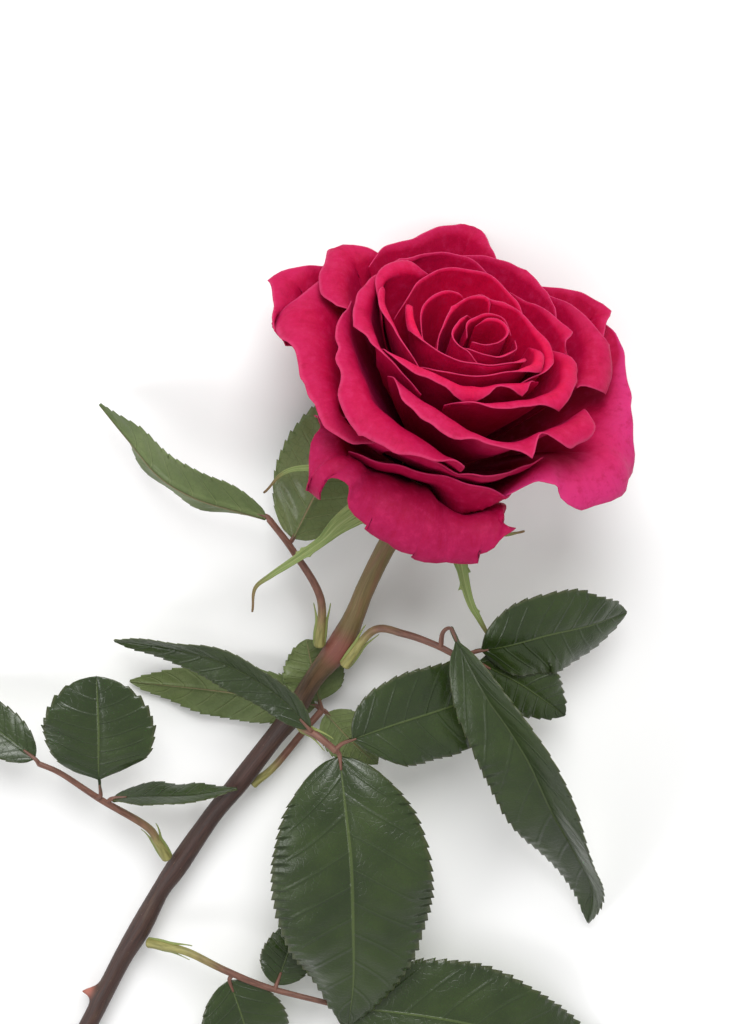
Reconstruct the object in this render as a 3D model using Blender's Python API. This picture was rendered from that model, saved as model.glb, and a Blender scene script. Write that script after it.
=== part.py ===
"""A cut rose laid down on a table: bloom, sepals, stem and six compound leaves."""
import bmesh
import bpy
import numpy as np
from mathutils.bvhtree import BVHTree

MM = 0.001
THICK_PETAL = 0.5        # every sheet of the part is this thick, in mm
THICK_LEAF = 0.5
GAP = 0.36               # clear space left between neighbouring pieces

# The bloom has its own frame: z runs up the flower's axis from the point where the
# petals are attached, y points to the side of the flower that lies on the table.
AXIS = np.array([0.241, 0.822, 0.516])
DOWN_SIDE = np.array([-0.179, 0.560, -0.808])
HEART = np.array([14.0, 16.0, 22.0])
AXIS /= np.linalg.norm(AXIS)
DOWN_SIDE -= AXIS * (DOWN_SIDE @ AXIS)
DOWN_SIDE /= np.linalg.norm(DOWN_SIDE)
BLOOM = np.array([np.cross(DOWN_SIDE, AXIS), DOWN_SIDE, AXIS])

# Each petal is told by its rim: angle round the flower in degrees, distance from the
# axis, height up the axis, and how far the edge is rolled back there, all in mm.
# Then the lean of the petal at its rim, the radius of the roll, and the claw's slope.
# They are listed from the heart outward, the order in which they wrap each other.
PETALS = {
    "petal_01": ([(95, 4, 49, 0), (64, 4, 52, 1), (32, 6, 52, 1), (2, 6, 52, 1),
                  (-28, 4, 51, 1), (-80, 3, 51, 0), (-149, 3, 50, 0)], -4, 0.8, 85),
    "petal_02": ([(170, 3, 49, 0), (131, 4, 51, 1), (93, 5, 51, 1), (63, 7, 51, 1),
                  (40, 9, 50, 0), (15, 9, 48, 0)], -4, 0.8, 85),
    "petal_03": ([(200, 5, 48, 0), (229, 6, 51, 0), (265, 6, 51, 0), (292, 7, 51, 1),
                  (322, 8, 51, 1), (345, 9, 49, 0), (370, 10, 47, 0)], -2, 0.8, 85),
    "petal_04": ([(85, 8, 47, 0), (105, 7, 50, 0), (125, 6, 51, 1), (142, 6, 51, 1),
                  (181, 7, 51, 1), (209, 7, 51, 1), (233, 7, 51, 0), (251, 8, 50, 0),
                  (275, 9, 47, 0)], 0, 0.8, 85),
    "petal_05": ([(60, 11, 45, 0), (66, 12, 48, 1), (72, 13, 50, 1), (91, 12, 50, 1),
                  (120, 10, 50, 1), (154, 9, 50, 1), (175, 10, 49, 0),
                  (195, 11, 46, 0)], 0, 0.9, 84),
    "petal_06": ([(86, 13, 45, 0), (98, 14, 49, 0), (110, 16, 49, 1), (130, 16, 49, 1),
                  (147, 15, 48, 1), (170, 13, 45, 0)], 4, 0.9, 83),
    "petal_07": ([(132, 19, 44, 1), (145, 18, 49, 3), (166, 16, 50, 3), (189, 14, 50, 1),
                  (221, 11, 51, 1), (250, 9, 51, 1), (272, 9, 51, 1), (302, 10, 51, 1),
                  (327, 11, 50, 2), (346, 12, 46, 0)], 4, 1.1, 83),
    "petal_08": ([(202, 17, 46, 0), (220, 16, 50, 1), (245, 13, 50, 1), (269, 12, 51, 1),
                  (296, 12, 51, 1), (315, 13, 51, 3), (330, 14, 50, 4), (348, 14, 49, 3),
                  (365, 14, 45, 0)], 6, 1.4, 82),
    "petal_09": ([(96, 15, 45, 0), (80, 14, 49, 0), (66, 13, 49, 1), (54, 14, 49, 1),
                  (36, 15, 49, 1), (12, 15, 49, 2), (-2, 16, 49, 3), (-12, 17, 48, 3),
                  (-26, 17, 48, 2), (-44, 15, 48, 1), (-60, 14, 46, 0)], 7, 1.5, 82),
    "petal_10": ([(146, 21, 42, 0), (134, 21, 46, 0), (118, 23, 46, 1), (100, 25, 46, 1),
                  (84, 26, 45, 1), (70, 26, 45, 1), (58, 22, 46, 1), (43, 18, 47, 1),
                  (24, 17, 44, 0)], 8, 1.2, 80),
    "petal_11": ([(132, 28, 43, 0), (138, 27, 47, 2), (148, 25, 48, 3), (167, 21, 49, 2),
                  (190, 19, 49, 1), (206, 17, 46, 0)], 10, 1.8, 80),
    "petal_12": ([(178, 24, 44, 0), (187, 23, 48, 2), (203, 19, 49, 4), (220, 17, 50, 4),
                  (240, 16, 50, 5), (250, 15, 50, 6), (260, 15, 50, 4), (273, 14, 50, 2),
                  (285, 14, 50, 3), (298, 15, 50, 4), (310, 16, 49, 1),
                  (322, 17, 46, 0)], 10, 2.0, 80),
    "petal_13": ([(236, 19, 44, 0), (250, 18, 48, 2), (275, 18, 49, 4), (300, 19, 48, 4),
                  (318, 21, 48, 6), (330, 22, 48, 5), (345, 22, 47, 6), (355, 22, 46, 4),
                  (366, 20, 43, 0)], 12, 2.6, 78),
    "petal_14": ([(152, 22, 42, 0), (138, 26, 46, 4), (128, 27, 48, 6), (117, 26, 48, 5),
                  (106, 25, 45, 1)], 10, 3.0, 78),
    "petal_15": ([(56, 25, 43, 0), (46, 22, 46, 1), (36, 21, 48, 1), (28, 23, 47, 2),
                  (13, 24, 47, 3), (4, 23, 47, 1), (-2, 23, 45, 0)], 12, 2.2, 77),
    "petal_16": ([(118, 31, 40, 0), (130, 30, 45, 4), (147, 28, 46, 6), (161, 26, 46, 6),
                  (175, 24, 47, 5), (190, 22, 47, 3), (203, 21, 46, 2),
                  (218, 20, 43, 0)], 16, 3.5, 74),
    "petal_17": ([(137, 28, 41, 0), (126, 30, 45, 1), (113, 31, 45, 2), (98, 32, 44, 1),
                  (88, 32, 44, 1), (76, 30, 44, 1), (66, 27, 42, 0)], 14, 2.5, 74),
    "petal_18": ([(90, 34, 40, 0), (79, 33, 43, 1), (66, 34, 43, 2), (55, 35, 42, 2),
                  (45, 32, 43, 2), (33, 28, 45, 1), (22, 25, 45, 1),
                  (8, 23, 42, 0)], 18, 3.0, 72),
    "petal_19": ([(196, 24, 43, 0), (207, 24, 47, 4), (227, 24, 48, 8), (247, 25, 48, 8),
                  (262, 27, 47, 5), (275, 28, 46, 5), (284, 28, 46, 6), (292, 28, 47, 2),
                  (301, 28, 47, 9), (313, 29, 46, 9), (323, 30, 45, 6),
                  (331, 30, 41, 0)], 18, 4.5, 72),
    "petal_20": ([(52, 30, 39, 0), (42, 34, 39, 1), (33, 35, 41, 2), (22, 35, 42, 5),
                  (12, 34, 42, 8), (4, 32, 41, 11), (-5, 30, 41, 10), (-16, 27, 41, 2)],
                  22, 4.5, 70),
    "petal_21": ([(144, 33, 40, 1), (159, 32, 43, 5), (175, 31, 44, 7), (192, 31, 45, 9),
                  (205, 32, 45, 11), (218, 31, 44, 12), (232, 30, 43, 10), (246, 30, 41, 6),
                  (257, 31, 38, 2)], 26, 6.0, 68),
    "petal_22": ([(122, 37, 39, 0), (111, 40, 40, 2), (98, 41, 40, 3), (88, 45, 39, 3),
                  (80, 48, 38, 3), (75, 48, 38, 4), (71, 42, 39, 2), (66, 34, 41, 0)],
                  30, 4.0, 62),
    "petal_23": ([(51, 33, 38, 0), (45, 37, 39, 1), (38, 40, 40, 2), (32, 44, 39, 2),
                  (27, 46, 38, 3), (22, 43, 38, 3), (14, 39, 37, 1)], 34, 4.0, 60),
    "petal_24": ([(110, 39, 37, 0), (116, 42, 39, 4), (122, 44, 39, 8), (130, 41, 39, 9),
                  (139, 37, 39, 8), (146, 32, 38, 3)], 36, 5.0, 60),
    "petal_25": ([(192, 33, 28, 0), (204, 30, 31, 1), (218, 28, 32, 2), (232, 27, 33, 2),
                  (246, 27, 33, 1), (260, 27, 32, 1), (274, 28, 32, 1), (290, 28, 33, 1),
                  (306, 28, 32, 0)], 14, 3.0, 70),
    "petal_26": ([(123, 44, 33, 0), (135, 43, 35, 8), (144, 42, 36, 14), (153, 41, 36, 15),
                  (165, 39, 36, 11), (180, 37, 36, 10), (195, 36, 36, 11), (205, 34, 35, 10),
                  (215, 30, 34, 6), (223, 27, 32, 2)], 50, 9.0, 52),
    "petal_27": ([(118, 45, 30, 0), (126, 48, 31, 2), (133, 51, 32, 4), (138, 52, 32, 7),
                  (144, 49, 31, 6), (152, 45, 30, 4), (160, 41, 29, 1)], 50, 6.0, 50),
    "petal_28": ([(27, 49, 31, 0), (16, 47, 33, 1), (3, 44, 34, 4), (-12, 42, 34, 9),
                  (-25, 41, 34, 15), (-34, 41, 34, 17), (-42, 39, 34, 16), (-50, 36, 34, 15),
                  (-57, 33, 34, 10), (-64, 31, 31, 5), (-71, 29, 25, 3), (-79, 27, 18, 1),
                  (-88, 25, 13, 1), (-96, 24, 9, 0)], 50, 9.0, 50),
    "petal_29": ([(205, 32, 22, 0), (216, 31, 25, 1), (229, 28, 27, 1), (240, 27, 28, 2),
                  (252, 27, 29, 1), (266, 26, 28, 1), (279, 25, 27, 1), (290, 25, 24, 1),
                  (299, 24, 19, 0)], 18, 3.0, 66),
    "petal_30": ([(177, 34, 17, 1), (184, 35, 22, 3), (192, 36, 26, 7), (198, 37, 26, 14),
                  (204, 38, 27, 20), (210, 38, 27, 20), (215, 38, 26, 12), (219, 38, 25, 9),
                  (224, 37, 24, 14), (232, 35, 23, 18), (244, 34, 21, 19), (258, 33, 20, 20),
                  (271, 32, 19, 19), (279, 33, 19, 15), (286, 35, 18, 11), (292, 34, 15, 4)],
                  72, 11.0, 38),
}
CLAW_HALF = (20, 48)     # half the width of a claw in degrees, at the heart and outside


def curve(points, count):
    """Resample a smooth curve through the points at equal distances."""
    p = np.asarray(points, float)
    p = np.vstack([2 * p[0] - p[1], p, 2 * p[-1] - p[-2]])
    dense = []
    for a, b, c, d in zip(p, p[1:], p[2:], p[3:]):
        t = np.linspace(0, 1, 24, endpoint=False)[:, None]
        dense.append(0.5 * (2 * b + (c - a) * t + (2 * a - 5 * b + 4 * c - d) * t**2
                                    + (3 * b - a - 3 * c + d) * t**3))
    dense = np.vstack(dense + [p[-2][None]])
    run = np.r_[0, np.cumsum(np.linalg.norm(np.diff(dense[:, :3], axis=0), axis=1))]
    at = np.linspace(0, run[-1], count)
    return np.stack([np.interp(at, run, dense[:, k]) for k in range(p.shape[1])], 1)


def unit(v):
    return v / np.maximum(np.linalg.norm(v, axis=-1, keepdims=True), 1e-9)


def dome(h):
    """Radius of the fleshy dome that carries the petals, at height h in mm."""
    return np.interp(h, [0, 2, 4, 6, 8, 9.5], [7.5, 7.2, 6.2, 4.8, 3.0, 0.8])


def petal_sheet(rim, lean, roll, slope, rank, nu=11, nv=6, nl=3):
    """Grid of points: across the petal, and from its claw up over the rolled rim."""
    deg, r, h, lip = np.array(rim, float).T
    xyz = np.stack([r * np.cos(np.radians(deg)), r * np.sin(np.radians(deg)), h, lip], 1)
    xyz = curve(xyz, nu)
    top, lip = xyz[:, :3], np.clip(xyz[:, 3], 0.3, None)
    along = unit(np.gradient(top, axis=0))
    out = unit(np.stack([along[:, 1], -along[:, 0], 0 * r[:1].repeat(nu)], 1))
    out *= np.sign(np.median((out * top).sum(1)))
    lean = np.radians(lean)
    rise = unit(np.cos(lean) * np.array([0, 0, 1.0]) + np.sin(lean) * out)
    back = unit(np.cross(along, rise))
    back *= np.sign((back * out).sum(1, keepdims=True))
    top = top - rise * roll * np.sin(np.minimum(lip / roll, np.pi / 2))[:, None]
    mid = unit(top[:, :2].mean(0))
    sign = np.sign(np.median(top[:-1, 0] * top[1:, 1] - top[:-1, 1] * top[1:, 0]))
    half = np.radians(np.interp(rank, [0.3, 0.6], CLAW_HALF))
    ang = np.arctan2(mid[1], mid[0]) + sign * half * np.linspace(-1, 1, nu)
    base_h = 8.6 * (1 - rank) ** 0.9 + 0.4
    base_r = dome(base_h) + 0.5
    radial = np.stack([np.cos(ang), np.sin(ang), 0 * ang], 1)
    foot = radial * base_r + np.array([0, 0, base_h])
    s = np.radians(slope)
    start = np.cos(s) * radial + np.sin(s) * np.array([0, 0, 1.0])
    size = np.linalg.norm(top - foot, axis=1, keepdims=True)
    c1, c2 = foot + start * size * 0.36, top - rise * size * 0.36
    rows = []
    for t in np.linspace(0, 1, nv):
        rows.append((1 - t) ** 3 * foot + 3 * t * (1 - t) ** 2 * c1
                    + 3 * t * t * (1 - t) * c2 + t**3 * top)
    for t in np.linspace(0, 1, nl + 1)[1:]:
        a = np.minimum(t * lip / roll, np.radians(165))
        rest = np.maximum(t * lip - roll * np.radians(165), 0)
        rows.append(top + roll * (np.sin(a)[:, None] * rise + (1 - np.cos(a))[:, None] * back)
                    + (rest * np.cos(a))[:, None] * rise + (rest * np.sin(a))[:, None] * back)
    return np.stack(rows, 1)          # (nu, nv + nl, 3)


def normals(grid):
    n = unit(np.cross(np.gradient(grid, axis=0), np.gradient(grid, axis=1)))
    return n


def outward(grid):
    """Normals that leave the flower: on the petal's lower part they face away from the axis."""
    n = normals(grid)
    low = grid[:, : grid.shape[1] // 2]
    return n * np.sign(np.median((n[:, : low.shape[1], :2] * low[..., :2]).sum(-1)))


def ray_of(points, tilt):
    """Distance, origin and direction of the slanting ray that every point lies on."""
    r = np.linalg.norm(points[..., :2], axis=-1)
    radial = points[..., :2] / np.maximum(r, 1e-6)[..., None]
    direction = np.concatenate([radial * np.cos(tilt), np.full(r.shape + (1,), np.sin(tilt))], -1)
    s = r / np.cos(tilt)
    return s, points - direction * s[..., None], direction


def ray_tilt(rank):
    return np.radians(np.interp(rank, [0, 0.5, 1], [30, 10, -35]))


def settle(grid, tree, tilt, passes=18, sub=4):
    """Slide a sheet outward along the rays until it clears every petal inside it."""
    if tree is None:
        return grid
    nu, nv = grid.shape[:2]
    for _ in range(passes):
        need = np.zeros((nu, nv))
        for i in range((nu - 1) * sub + 1):
            for j in range((nv - 1) * sub + 1):
                iu, iv = min(i // sub, nu - 2), min(j // sub, nv - 2)
                fu, fv = i / sub - iu, j / sub - iv
                p = ((1 - fu) * (1 - fv) * grid[iu, iv] + fu * (1 - fv) * grid[iu + 1, iv]
                     + (1 - fu) * fv * grid[iu, iv + 1] + fu * fv * grid[iu + 1, iv + 1])
                s, origin, direction = ray_of(p, tilt)
                far = origin + direction * 120
                hit = tree.ray_cast(far, -direction)[0]
                if hit is None:
                    continue
                lack = (np.array(hit) - origin) @ direction + GAP * 1.6 - s
                if lack > 0:
                    for a, wa in ((iu, 1 - fu), (iu + 1, fu)):
                        for b, wb in ((iv, 1 - fv), (iv + 1, fv)):
                            if wa * wb > 0.05:
                                need[a, b] = max(need[a, b], lack)
        if need.max() < 0.03:
            break
        soft = need.copy()
        for _ in range(3):
            pad = np.pad(soft, 1, mode="edge")
            mean = (pad[:-2, 1:-1] + pad[2:, 1:-1] + pad[1:-1, :-2] + pad[1:-1, 2:]) / 4
            soft = np.maximum(need, mean)
        soft[:, 0] = np.minimum(soft[:, 0], need[:, 0])
        grid = grid + ray_of(grid, tilt)[2] * soft[..., None]
    return grid


def quads(nu, nv, first=0):
    """Faces of a grid whose points are numbered row by row from first."""
    i, j = np.meshgrid(np.arange(nu - 1), np.arange(nv - 1), indexing="ij")
    a = (first + i * nv + j).ravel()
    return np.stack([a, a + nv, a + nv + 1, a + 1], 1).tolist()


def petals():
    """Wrap the petals one after another, each clear of all those inside it."""
    made, verts, faces = {}, [], []
    for k, (name, (rim, lean, roll, slope)) in enumerate(PETALS.items()):
        rank = k / (len(PETALS) - 1)
        grid = petal_sheet(rim, lean, roll, slope, rank)
        tree = BVHTree.FromPolygons(verts, faces) if verts else None
        grid = settle(grid, tree, ray_tilt(rank))
        away = outward(grid)
        made[name] = (grid, away)
        for side in (grid, grid + away * THICK_PETAL):
            faces += quads(*grid.shape[:2], len(verts))
            verts += side.reshape(-1, 3).tolist()
    return made


# The stem's middle line and thickness (x, y, z, radius) from the cut end to the neck.
STEM = [(-94, -184, 2.8, 2.6), (-81, -159, 3.6, 2.5), (-71, -138, 4.5, 2.6), (-65, -127, 5, 3.0),
        (-59, -115, 5.8, 2.5), (-54, -107, 6.4, 2.9), (-44, -91, 7.6, 2.5), (-36, -80, 8.5, 2.8),
        (-27, -67, 9.6, 2.6), (-22, -60, 10.2, 2.9), (-16, -49, 11.0, 2.6), (-9, -39, 12, 3.5),
        (-5, -30, 12.5, 2.7), (-2, -22, 12.8, 2.5), (3, -11, 13, 2.5), (8, -2, 13.6, 2.7)]
# The hip swells below the petals and closes in the dome (height on the axis, radius).
HIP = [(-10, 3.6), (-7, 5.2), (-4, 6.0), (-2, 6.2), (0, 7.4), (2, 7.1), (4, 6.1), (6, 4.7),
       (8, 2.9), (9.4, 0.8)]
PRICKLES = [((-76, -149), (-1, 0.45, 0.1))]
PRICKLE_LONG = 3.6


def hip_point(deg, h=-3, r=7.2):
    """Where a sepal leaves the hip."""
    a = np.radians(deg)
    return tuple(np.array([r * np.cos(a), r * np.sin(a), h]) @ BLOOM + HEART)


# Stalks of the leaves: x, y, z of the middle line in mm, then radius at either end.
STALKS = {
    "leaf_a_stalk": ([(-9, -39, 12), (-14, -24, 15), (-21, -10, 17), (-27, -1, 18)], 1.2, 0.8),
    "leaf_b_stalk": ([(-9, -39, 12), (0, -32.5, 17), (8, -32, 20.5), (16, -34, 23), (22, -36.8, 24),
                      (24.6, -37, 24)], 1.2, 0.8),
    "leaf_c_stalk": ([(-22, -60, 10.2), (-19, -60, 18), (-15, -61, 21), (-10, -65, 22)], 1.2, 0.9),
    "leaf_d_stalk": ([(-36, -80, 8.5), (-27, -77, 6), (-19, -67, 5), (-14, -61, 4.5)], 1.1, 0.9),
    "leaf_e_stalk": ([(-54, -107, 6.4), (-59, -98, 10), (-62, -92, 12), (-74, -83, 14),
                      (-84, -75, 15), (-90, -72, 15)], 1.2, 0.7),
    "leaf_f_stalk": ([(-65, -127, 5), (-58, -130, 10), (-51, -131, 12), (-41, -136, 13),
                      (-29, -142, 12), (-12, -147, 12)], 1.2, 0.7),
}
# Blades: middle rib from base to tip, half width, the way the upper side faces, and how
# far each half is folded up and how far the edges curl down, in degrees.
BLADES = {
    "leaf_a_end": ([(-28, 0, 18), (-37, 3, 19), (-46, 6, 19), (-55, 11, 17), (-63, 19, 12),
                    (-71, 26, 4)], 9, (0.30, 0.60, -0.74), 20, 6),
    "leaf_a_right": ([(-21, -7, 16), (-14, 6, 11), (-5, 22, 6), (2, 34, 3)], 13,
                     (-0.1, -0.4, -0.9), 14, 8),
    "leaf_b_right": ([(26.4, -35.4, 24.6), (35, -33.3, 26), (46, -30.6, 25), (57, -30, 20),
                      (67, -29, 13)], 12.5, (0, -0.2, 1), 8, 12),
    "leaf_b_end": ([(20, -28, 26.5), (24.5, -37, 29), (29.5, -46, 31), (35.5, -55, 31.5),
                    (41, -65, 31), (47, -80, 27), (54, -96, 19), (60, -113, 9), (60, -127, 2)],
                   12.5, (-0.55, 0.1, 0.8), 30, 8),
    "leaf_b_left": ([(27.5, -39, 23.2), (39, -46, 22), (51, -57, 17)], 9.5, (0.1, 0, 1), 6, 8),
    "leaf_c_end": ([(-9, -66.5, 22), (-7.5, -79, 27), (-6, -94, 29), (-5.5, -114, 27),
                    (-5.5, -135, 21), (-7, -152, 15)], 21.5, (0, 0.1, 1), 12, 16),
    "leaf_c_right": ([(-8, -62.5, 22.5), (5, -57, 23.5), (17, -53.5, 22), (29, -51, 17.5),
                      (37, -50.5, 12)], 14, (0, -0.1, 1), 12, 10),
    "leaf_c_left": ([(-17, -59, 21), (-24, -51, 21), (-33, -44.5, 20), (-43, -40, 19),
                     (-55, -38, 16), (-69, -38, 11)], 7, (0, -0.5, 0.85), 14, 2),
    "leaf_d_left": ([(-15.8, -60, 3.6), (-40, -56, 2.8), (-66, -54, 0.6)], 8, (-0.1, 0, -1), 3, 3),
    "leaf_d_up": ([(-14.5, -58.5, 5.2), (-16, -50, 6.4), (-18, -40, 5)], 8, (0, 0, -1), 3, 3),
    "leaf_d_right": ([(-12.7, -62, 4), (-6, -70, 4), (1, -78, 2)], 7, (0, 0, -1), 6, 4),
    "leaf_e_side": ([(-73.6, -81, 15.5), (-73.6, -72, 18.5), (-73, -60, 21), (-73, -44, 21)],
                    14.5, (0, -0.2, 1), 8, 10),
    "leaf_e_down": ([(-70.5, -82.8, 14), (-62, -82, 14), (-50, -82, 13.5), (-37, -80.5, 12.5)],
                    5.5, (0, 1, 0.12), 14, 6),
    "leaf_e_end": ([(-91, -70.5, 15), (-98, -65.5, 13), (-108, -60, 8), (-118, -56, 1)], 6.5,
                   (0.3, 0.3, 1), 14, 6),
    "leaf_f_left": ([(-40, -139.4, 12.5), (-36, -154, 12), (-33, -177, 1)], 12,
                    (0.1, 0.2, 1), 10, 10),
    "leaf_f_up": ([(-27, -141, 12), (-24, -133, 10), (-20, -123, 6)], 7, (0, 0, 1), 8, 6),
    "leaf_f_end": ([(-11, -147.5, 12), (25, -152, 14), (68, -172, 1)], 17, (0, 0.2, 1), 10, 12),
    "sepal_1": ([hip_point(215), (-7, 1.5, 24.5), (-13.5, -5, 23.5), (-21, -11.3, 21.5),
                 (-26.7, -16, 19.5), (-31, -20.5, 17), (-32, -27, 14)], 3.0, (0.1, 0.1, 1), 14, 4),
    "sepal_2": ([hip_point(290), (21, -3, 26.5), (24.5, -19, 26), (27.7, -26.7, 24),
                 (32, -36, 20)], 2.9, (0.1, 0.2, 1), 14, 4),
    "sepal_3": ([hip_point(338), (26, 1, 18.5), (33, -4, 20.5), (39.5, -2, 23)], 2.0,
                (0.2, 0.3, 1), 14, 4),
    "sepal_4": ([hip_point(190), (-6, 14, 21), (-21, 12.6, 18), (-28, 6, 14)], 2.4,
                (-0.1, -0.1, 1), 14, 4),
    "sepal_5": ([hip_point(70), (18, 9, 9), (21, -1, 5), (25, -13, 3)], 2.4,
                (0.3, 0.2, -1), 14, 4),
}

# Leaflets with a bare little stalk of their own, as a share of the length, and how blunt
# their tip is, from 0 to 1.
BASES = {"leaf_e_side": (0.17, 1.0), "leaf_c_right": (0.06, 0.6), "leaf_c_end": (0.0, 0.12),
         "leaf_d_up": (0.05, 0.6), "leaf_b_right": (0.05, 0.3), "leaf_a_right": (0.0, 0.5),
         "leaf_b_end": (0.04, 0.0)}


def blade(name, nu=9, ns=5):
    """Leaf or sepal: a folded, drooping sheet that follows its middle rib."""
    ribs, half, face, fold, curl = BLADES[name]
    rib = curve(ribs, nu)
    t = np.linspace(0, 1, nu)
    along = unit(np.gradient(rib, axis=0))
    face = unit(np.array(face, float))
    up = unit(face - along * (along @ face)[:, None])
    side = np.cross(along, up)
    bare, blunt = BASES.get(name, (0.0, 0.0))
    if name.startswith("sepal"):
        width = half * (1 - t) ** 0.8 * (0.75 + 0.6 * np.sin(np.pi * np.clip(2.2 * t, 0, 1)))
    else:
        own = np.clip((t - bare) / (1 - bare), 0, 1)
        width = half * np.sin(np.pi * own ** (0.78 + 0.17 * blunt)) ** (0.72 - 0.2 * blunt)
        width = width * (1 - (0.25 - 0.25 * blunt) * own**3)
    width = np.maximum(width, 0.5)
    cols = []
    for s in np.linspace(-1, 1, ns):
        a = np.radians(fold) - np.radians(curl) * abs(s)
        cols.append(rib + width[:, None] * (s * np.cos(a) * side + abs(s) * np.sin(a) * up))
    grid = np.stack(cols, 1)
    return grid, up


def stem_line():
    path = curve([s[:3] + (s[3],) for s in STEM]
                 + [tuple(HEART + AXIS * h) + (r,) for h, r in HIP[:2]], 44)
    return np.vstack([path, [tuple(HEART + AXIS * h) + (r,) for h, r in HIP[2:]]])


def stalk_line(points, r0, r1):
    """A leaf's stalk starts just clear of the stem's skin."""
    points = np.array(points, float)
    stem = stem_line()
    k = int(np.argmin(np.linalg.norm(stem[:, :3] - points[0], axis=1)))
    grain = unit(stem[k + 1, :3] - stem[k - 1, :3])
    way = points[1] - points[0]
    way = unit(way - grain * (way @ grain))
    points[0] = stem[k, :3] + way * (stem[k, 3] + r0 + GAP)
    line = curve(points, 9)
    return np.hstack([line, np.linspace(r0, r1, 9)[:, None]])


COLOURS = {"petal": (0.56, 0.01, 0.07), "leaf": (0.04, 0.10, 0.03), "stem": (0.16, 0.06, 0.04),
           "stalk": (0.25, 0.16, 0.06), "sepal": (0.25, 0.36, 0.10)}


def place(name, data, kind):
    """Put a piece in the scene with its own material."""
    mat = bpy.data.materials.new(name + "_skin")
    mat.use_nodes = True
    shader = mat.node_tree.nodes["Principled BSDF"]
    shader.inputs["Base Color"].default_value = (*COLOURS[kind], 1)
    shader.inputs["Roughness"].default_value = 0.55
    shader.inputs["Metallic"].default_value = 0.0
    data.materials.append(mat)
    obj = bpy.data.objects.new(name, data)
    bpy.context.scene.collection.objects.link(obj)
    return obj


def sheet(name, grid, facing, thick, offset, kind):
    """A thin piece: one layer of quads facing the given way, thickened by Solidify."""
    bm = bmesh.new()
    points = [bm.verts.new(p) for p in grid.reshape(-1, 3) * MM]
    for q in quads(*grid.shape[:2]):
        bm.faces.new([points[k] for k in q])
    bm.verts.index_update()
    bm.normal_update()
    facing = facing.reshape(-1, 3)
    if sum(f.normal.dot(facing[f.verts[0].index]) for f in bm.faces) < 0:
        bmesh.ops.reverse_faces(bm, faces=bm.faces)
    mesh = bpy.data.meshes.new(name)
    bm.to_mesh(mesh)
    bm.free()
    mesh.shade_smooth()
    obj = place(name, mesh, kind)
    mod = obj.modifiers.new("thickness", "SOLIDIFY")
    mod.thickness, mod.offset = thick * MM, offset
    return obj


def rod(name, line, kind):
    """A stalk: a tapering bevelled curve with closed ends."""
    data = bpy.data.curves.new(name, "CURVE")
    data.dimensions, data.bevel_depth, data.bevel_resolution = "3D", MM, 2
    data.use_fill_caps = True
    spline = data.splines.new("POLY")
    spline.points.add(len(line) - 1)
    for point, (x, y, z, r) in zip(spline.points, line):
        point.co, point.radius = (x * MM, y * MM, z * MM, 1), r
    return place(name, data, kind)


def stem(line, sides=10):
    """The stem and hip: rings bridged along the line, a prickle pulled out of one ring."""
    mid, rad = line[:, :3], line[:, 3]
    along = unit(np.gradient(mid, axis=0))
    side = unit(np.cross(along, np.array([0.1, 0.2, 1.0])))
    rise = np.cross(side, along)
    turn = np.linspace(0, 2 * np.pi, sides, endpoint=False)[None, :, None]
    rings = (mid[:, None] + rad[:, None, None] * (np.cos(turn) * side[:, None]
                                                  + np.sin(turn) * rise[:, None]))
    for (x, y), way in PRICKLES:
        i = int(np.argmin(np.hypot(mid[:, 0] - x, mid[:, 1] - y)))
        way = unit(np.array(way, float))
        rings[i, int(np.argmax((rings[i] - mid[i]) @ way))] += way * PRICKLE_LONG
    bm = bmesh.new()
    loops = []
    for ring in rings * MM:
        points = [bm.verts.new(p) for p in ring]
        loops.append([bm.edges.new((a, b)) for a, b in zip(points, points[1:] + points[:1])])
    for a, b in zip(loops, loops[1:]):
        bmesh.ops.bridge_loops(bm, edges=a + b)
    bmesh.ops.contextual_create(bm, geom=loops[0])
    bmesh.ops.contextual_create(bm, geom=loops[-1])
    bmesh.ops.recalc_face_normals(bm, faces=bm.faces)
    mesh = bpy.data.meshes.new("stem")
    bm.to_mesh(mesh)
    bm.free()
    return place("stem", mesh, "stem")


def main():
    for o in list(bpy.data.objects):
        bpy.data.objects.remove(o)
    flower = {name: (grid @ BLOOM + HEART, away @ BLOOM) for name, (grid, away) in petals().items()}
    leaves = {name: blade(name) for name in BLADES}
    for name, (grid, away) in flower.items():
        sheet(name, grid, away, THICK_PETAL, 1, "petal")
    for name, (grid, up) in leaves.items():
        up = np.repeat(up[:, None], grid.shape[1], 1)
        kind = "sepal" if name.startswith("sepal") else "leaf"
        sheet(name, grid, up, THICK_LEAF, -1, kind)
    for name, (points, r0, r1) in STALKS.items():
        rod(name, stalk_line(points, r0, r1), "stalk")
    stem(stem_line())
    bring_home()


def bring_home():
    """Move every piece so the finished solids' box stands centred on the origin."""
    bpy.context.view_layer.update()
    graph = bpy.context.evaluated_depsgraph_get()
    corners = []
    for obj in bpy.context.scene.objects:
        mesh = obj.evaluated_get(graph).to_mesh()
        corners += [tuple(v.co) for v in mesh.vertices]
        obj.evaluated_get(graph).to_mesh_clear()
    low, high = np.min(corners, axis=0), np.max(corners, axis=0)
    for obj in bpy.context.scene.objects:
        obj.location = (-(low[0] + high[0]) / 2, -(low[1] + high[1]) / 2, -low[2])
    print("rose", len(bpy.context.scene.objects), "pieces, size mm", np.round((high - low) / MM, 1))


if __name__ == "__main__":
    main()
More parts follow.
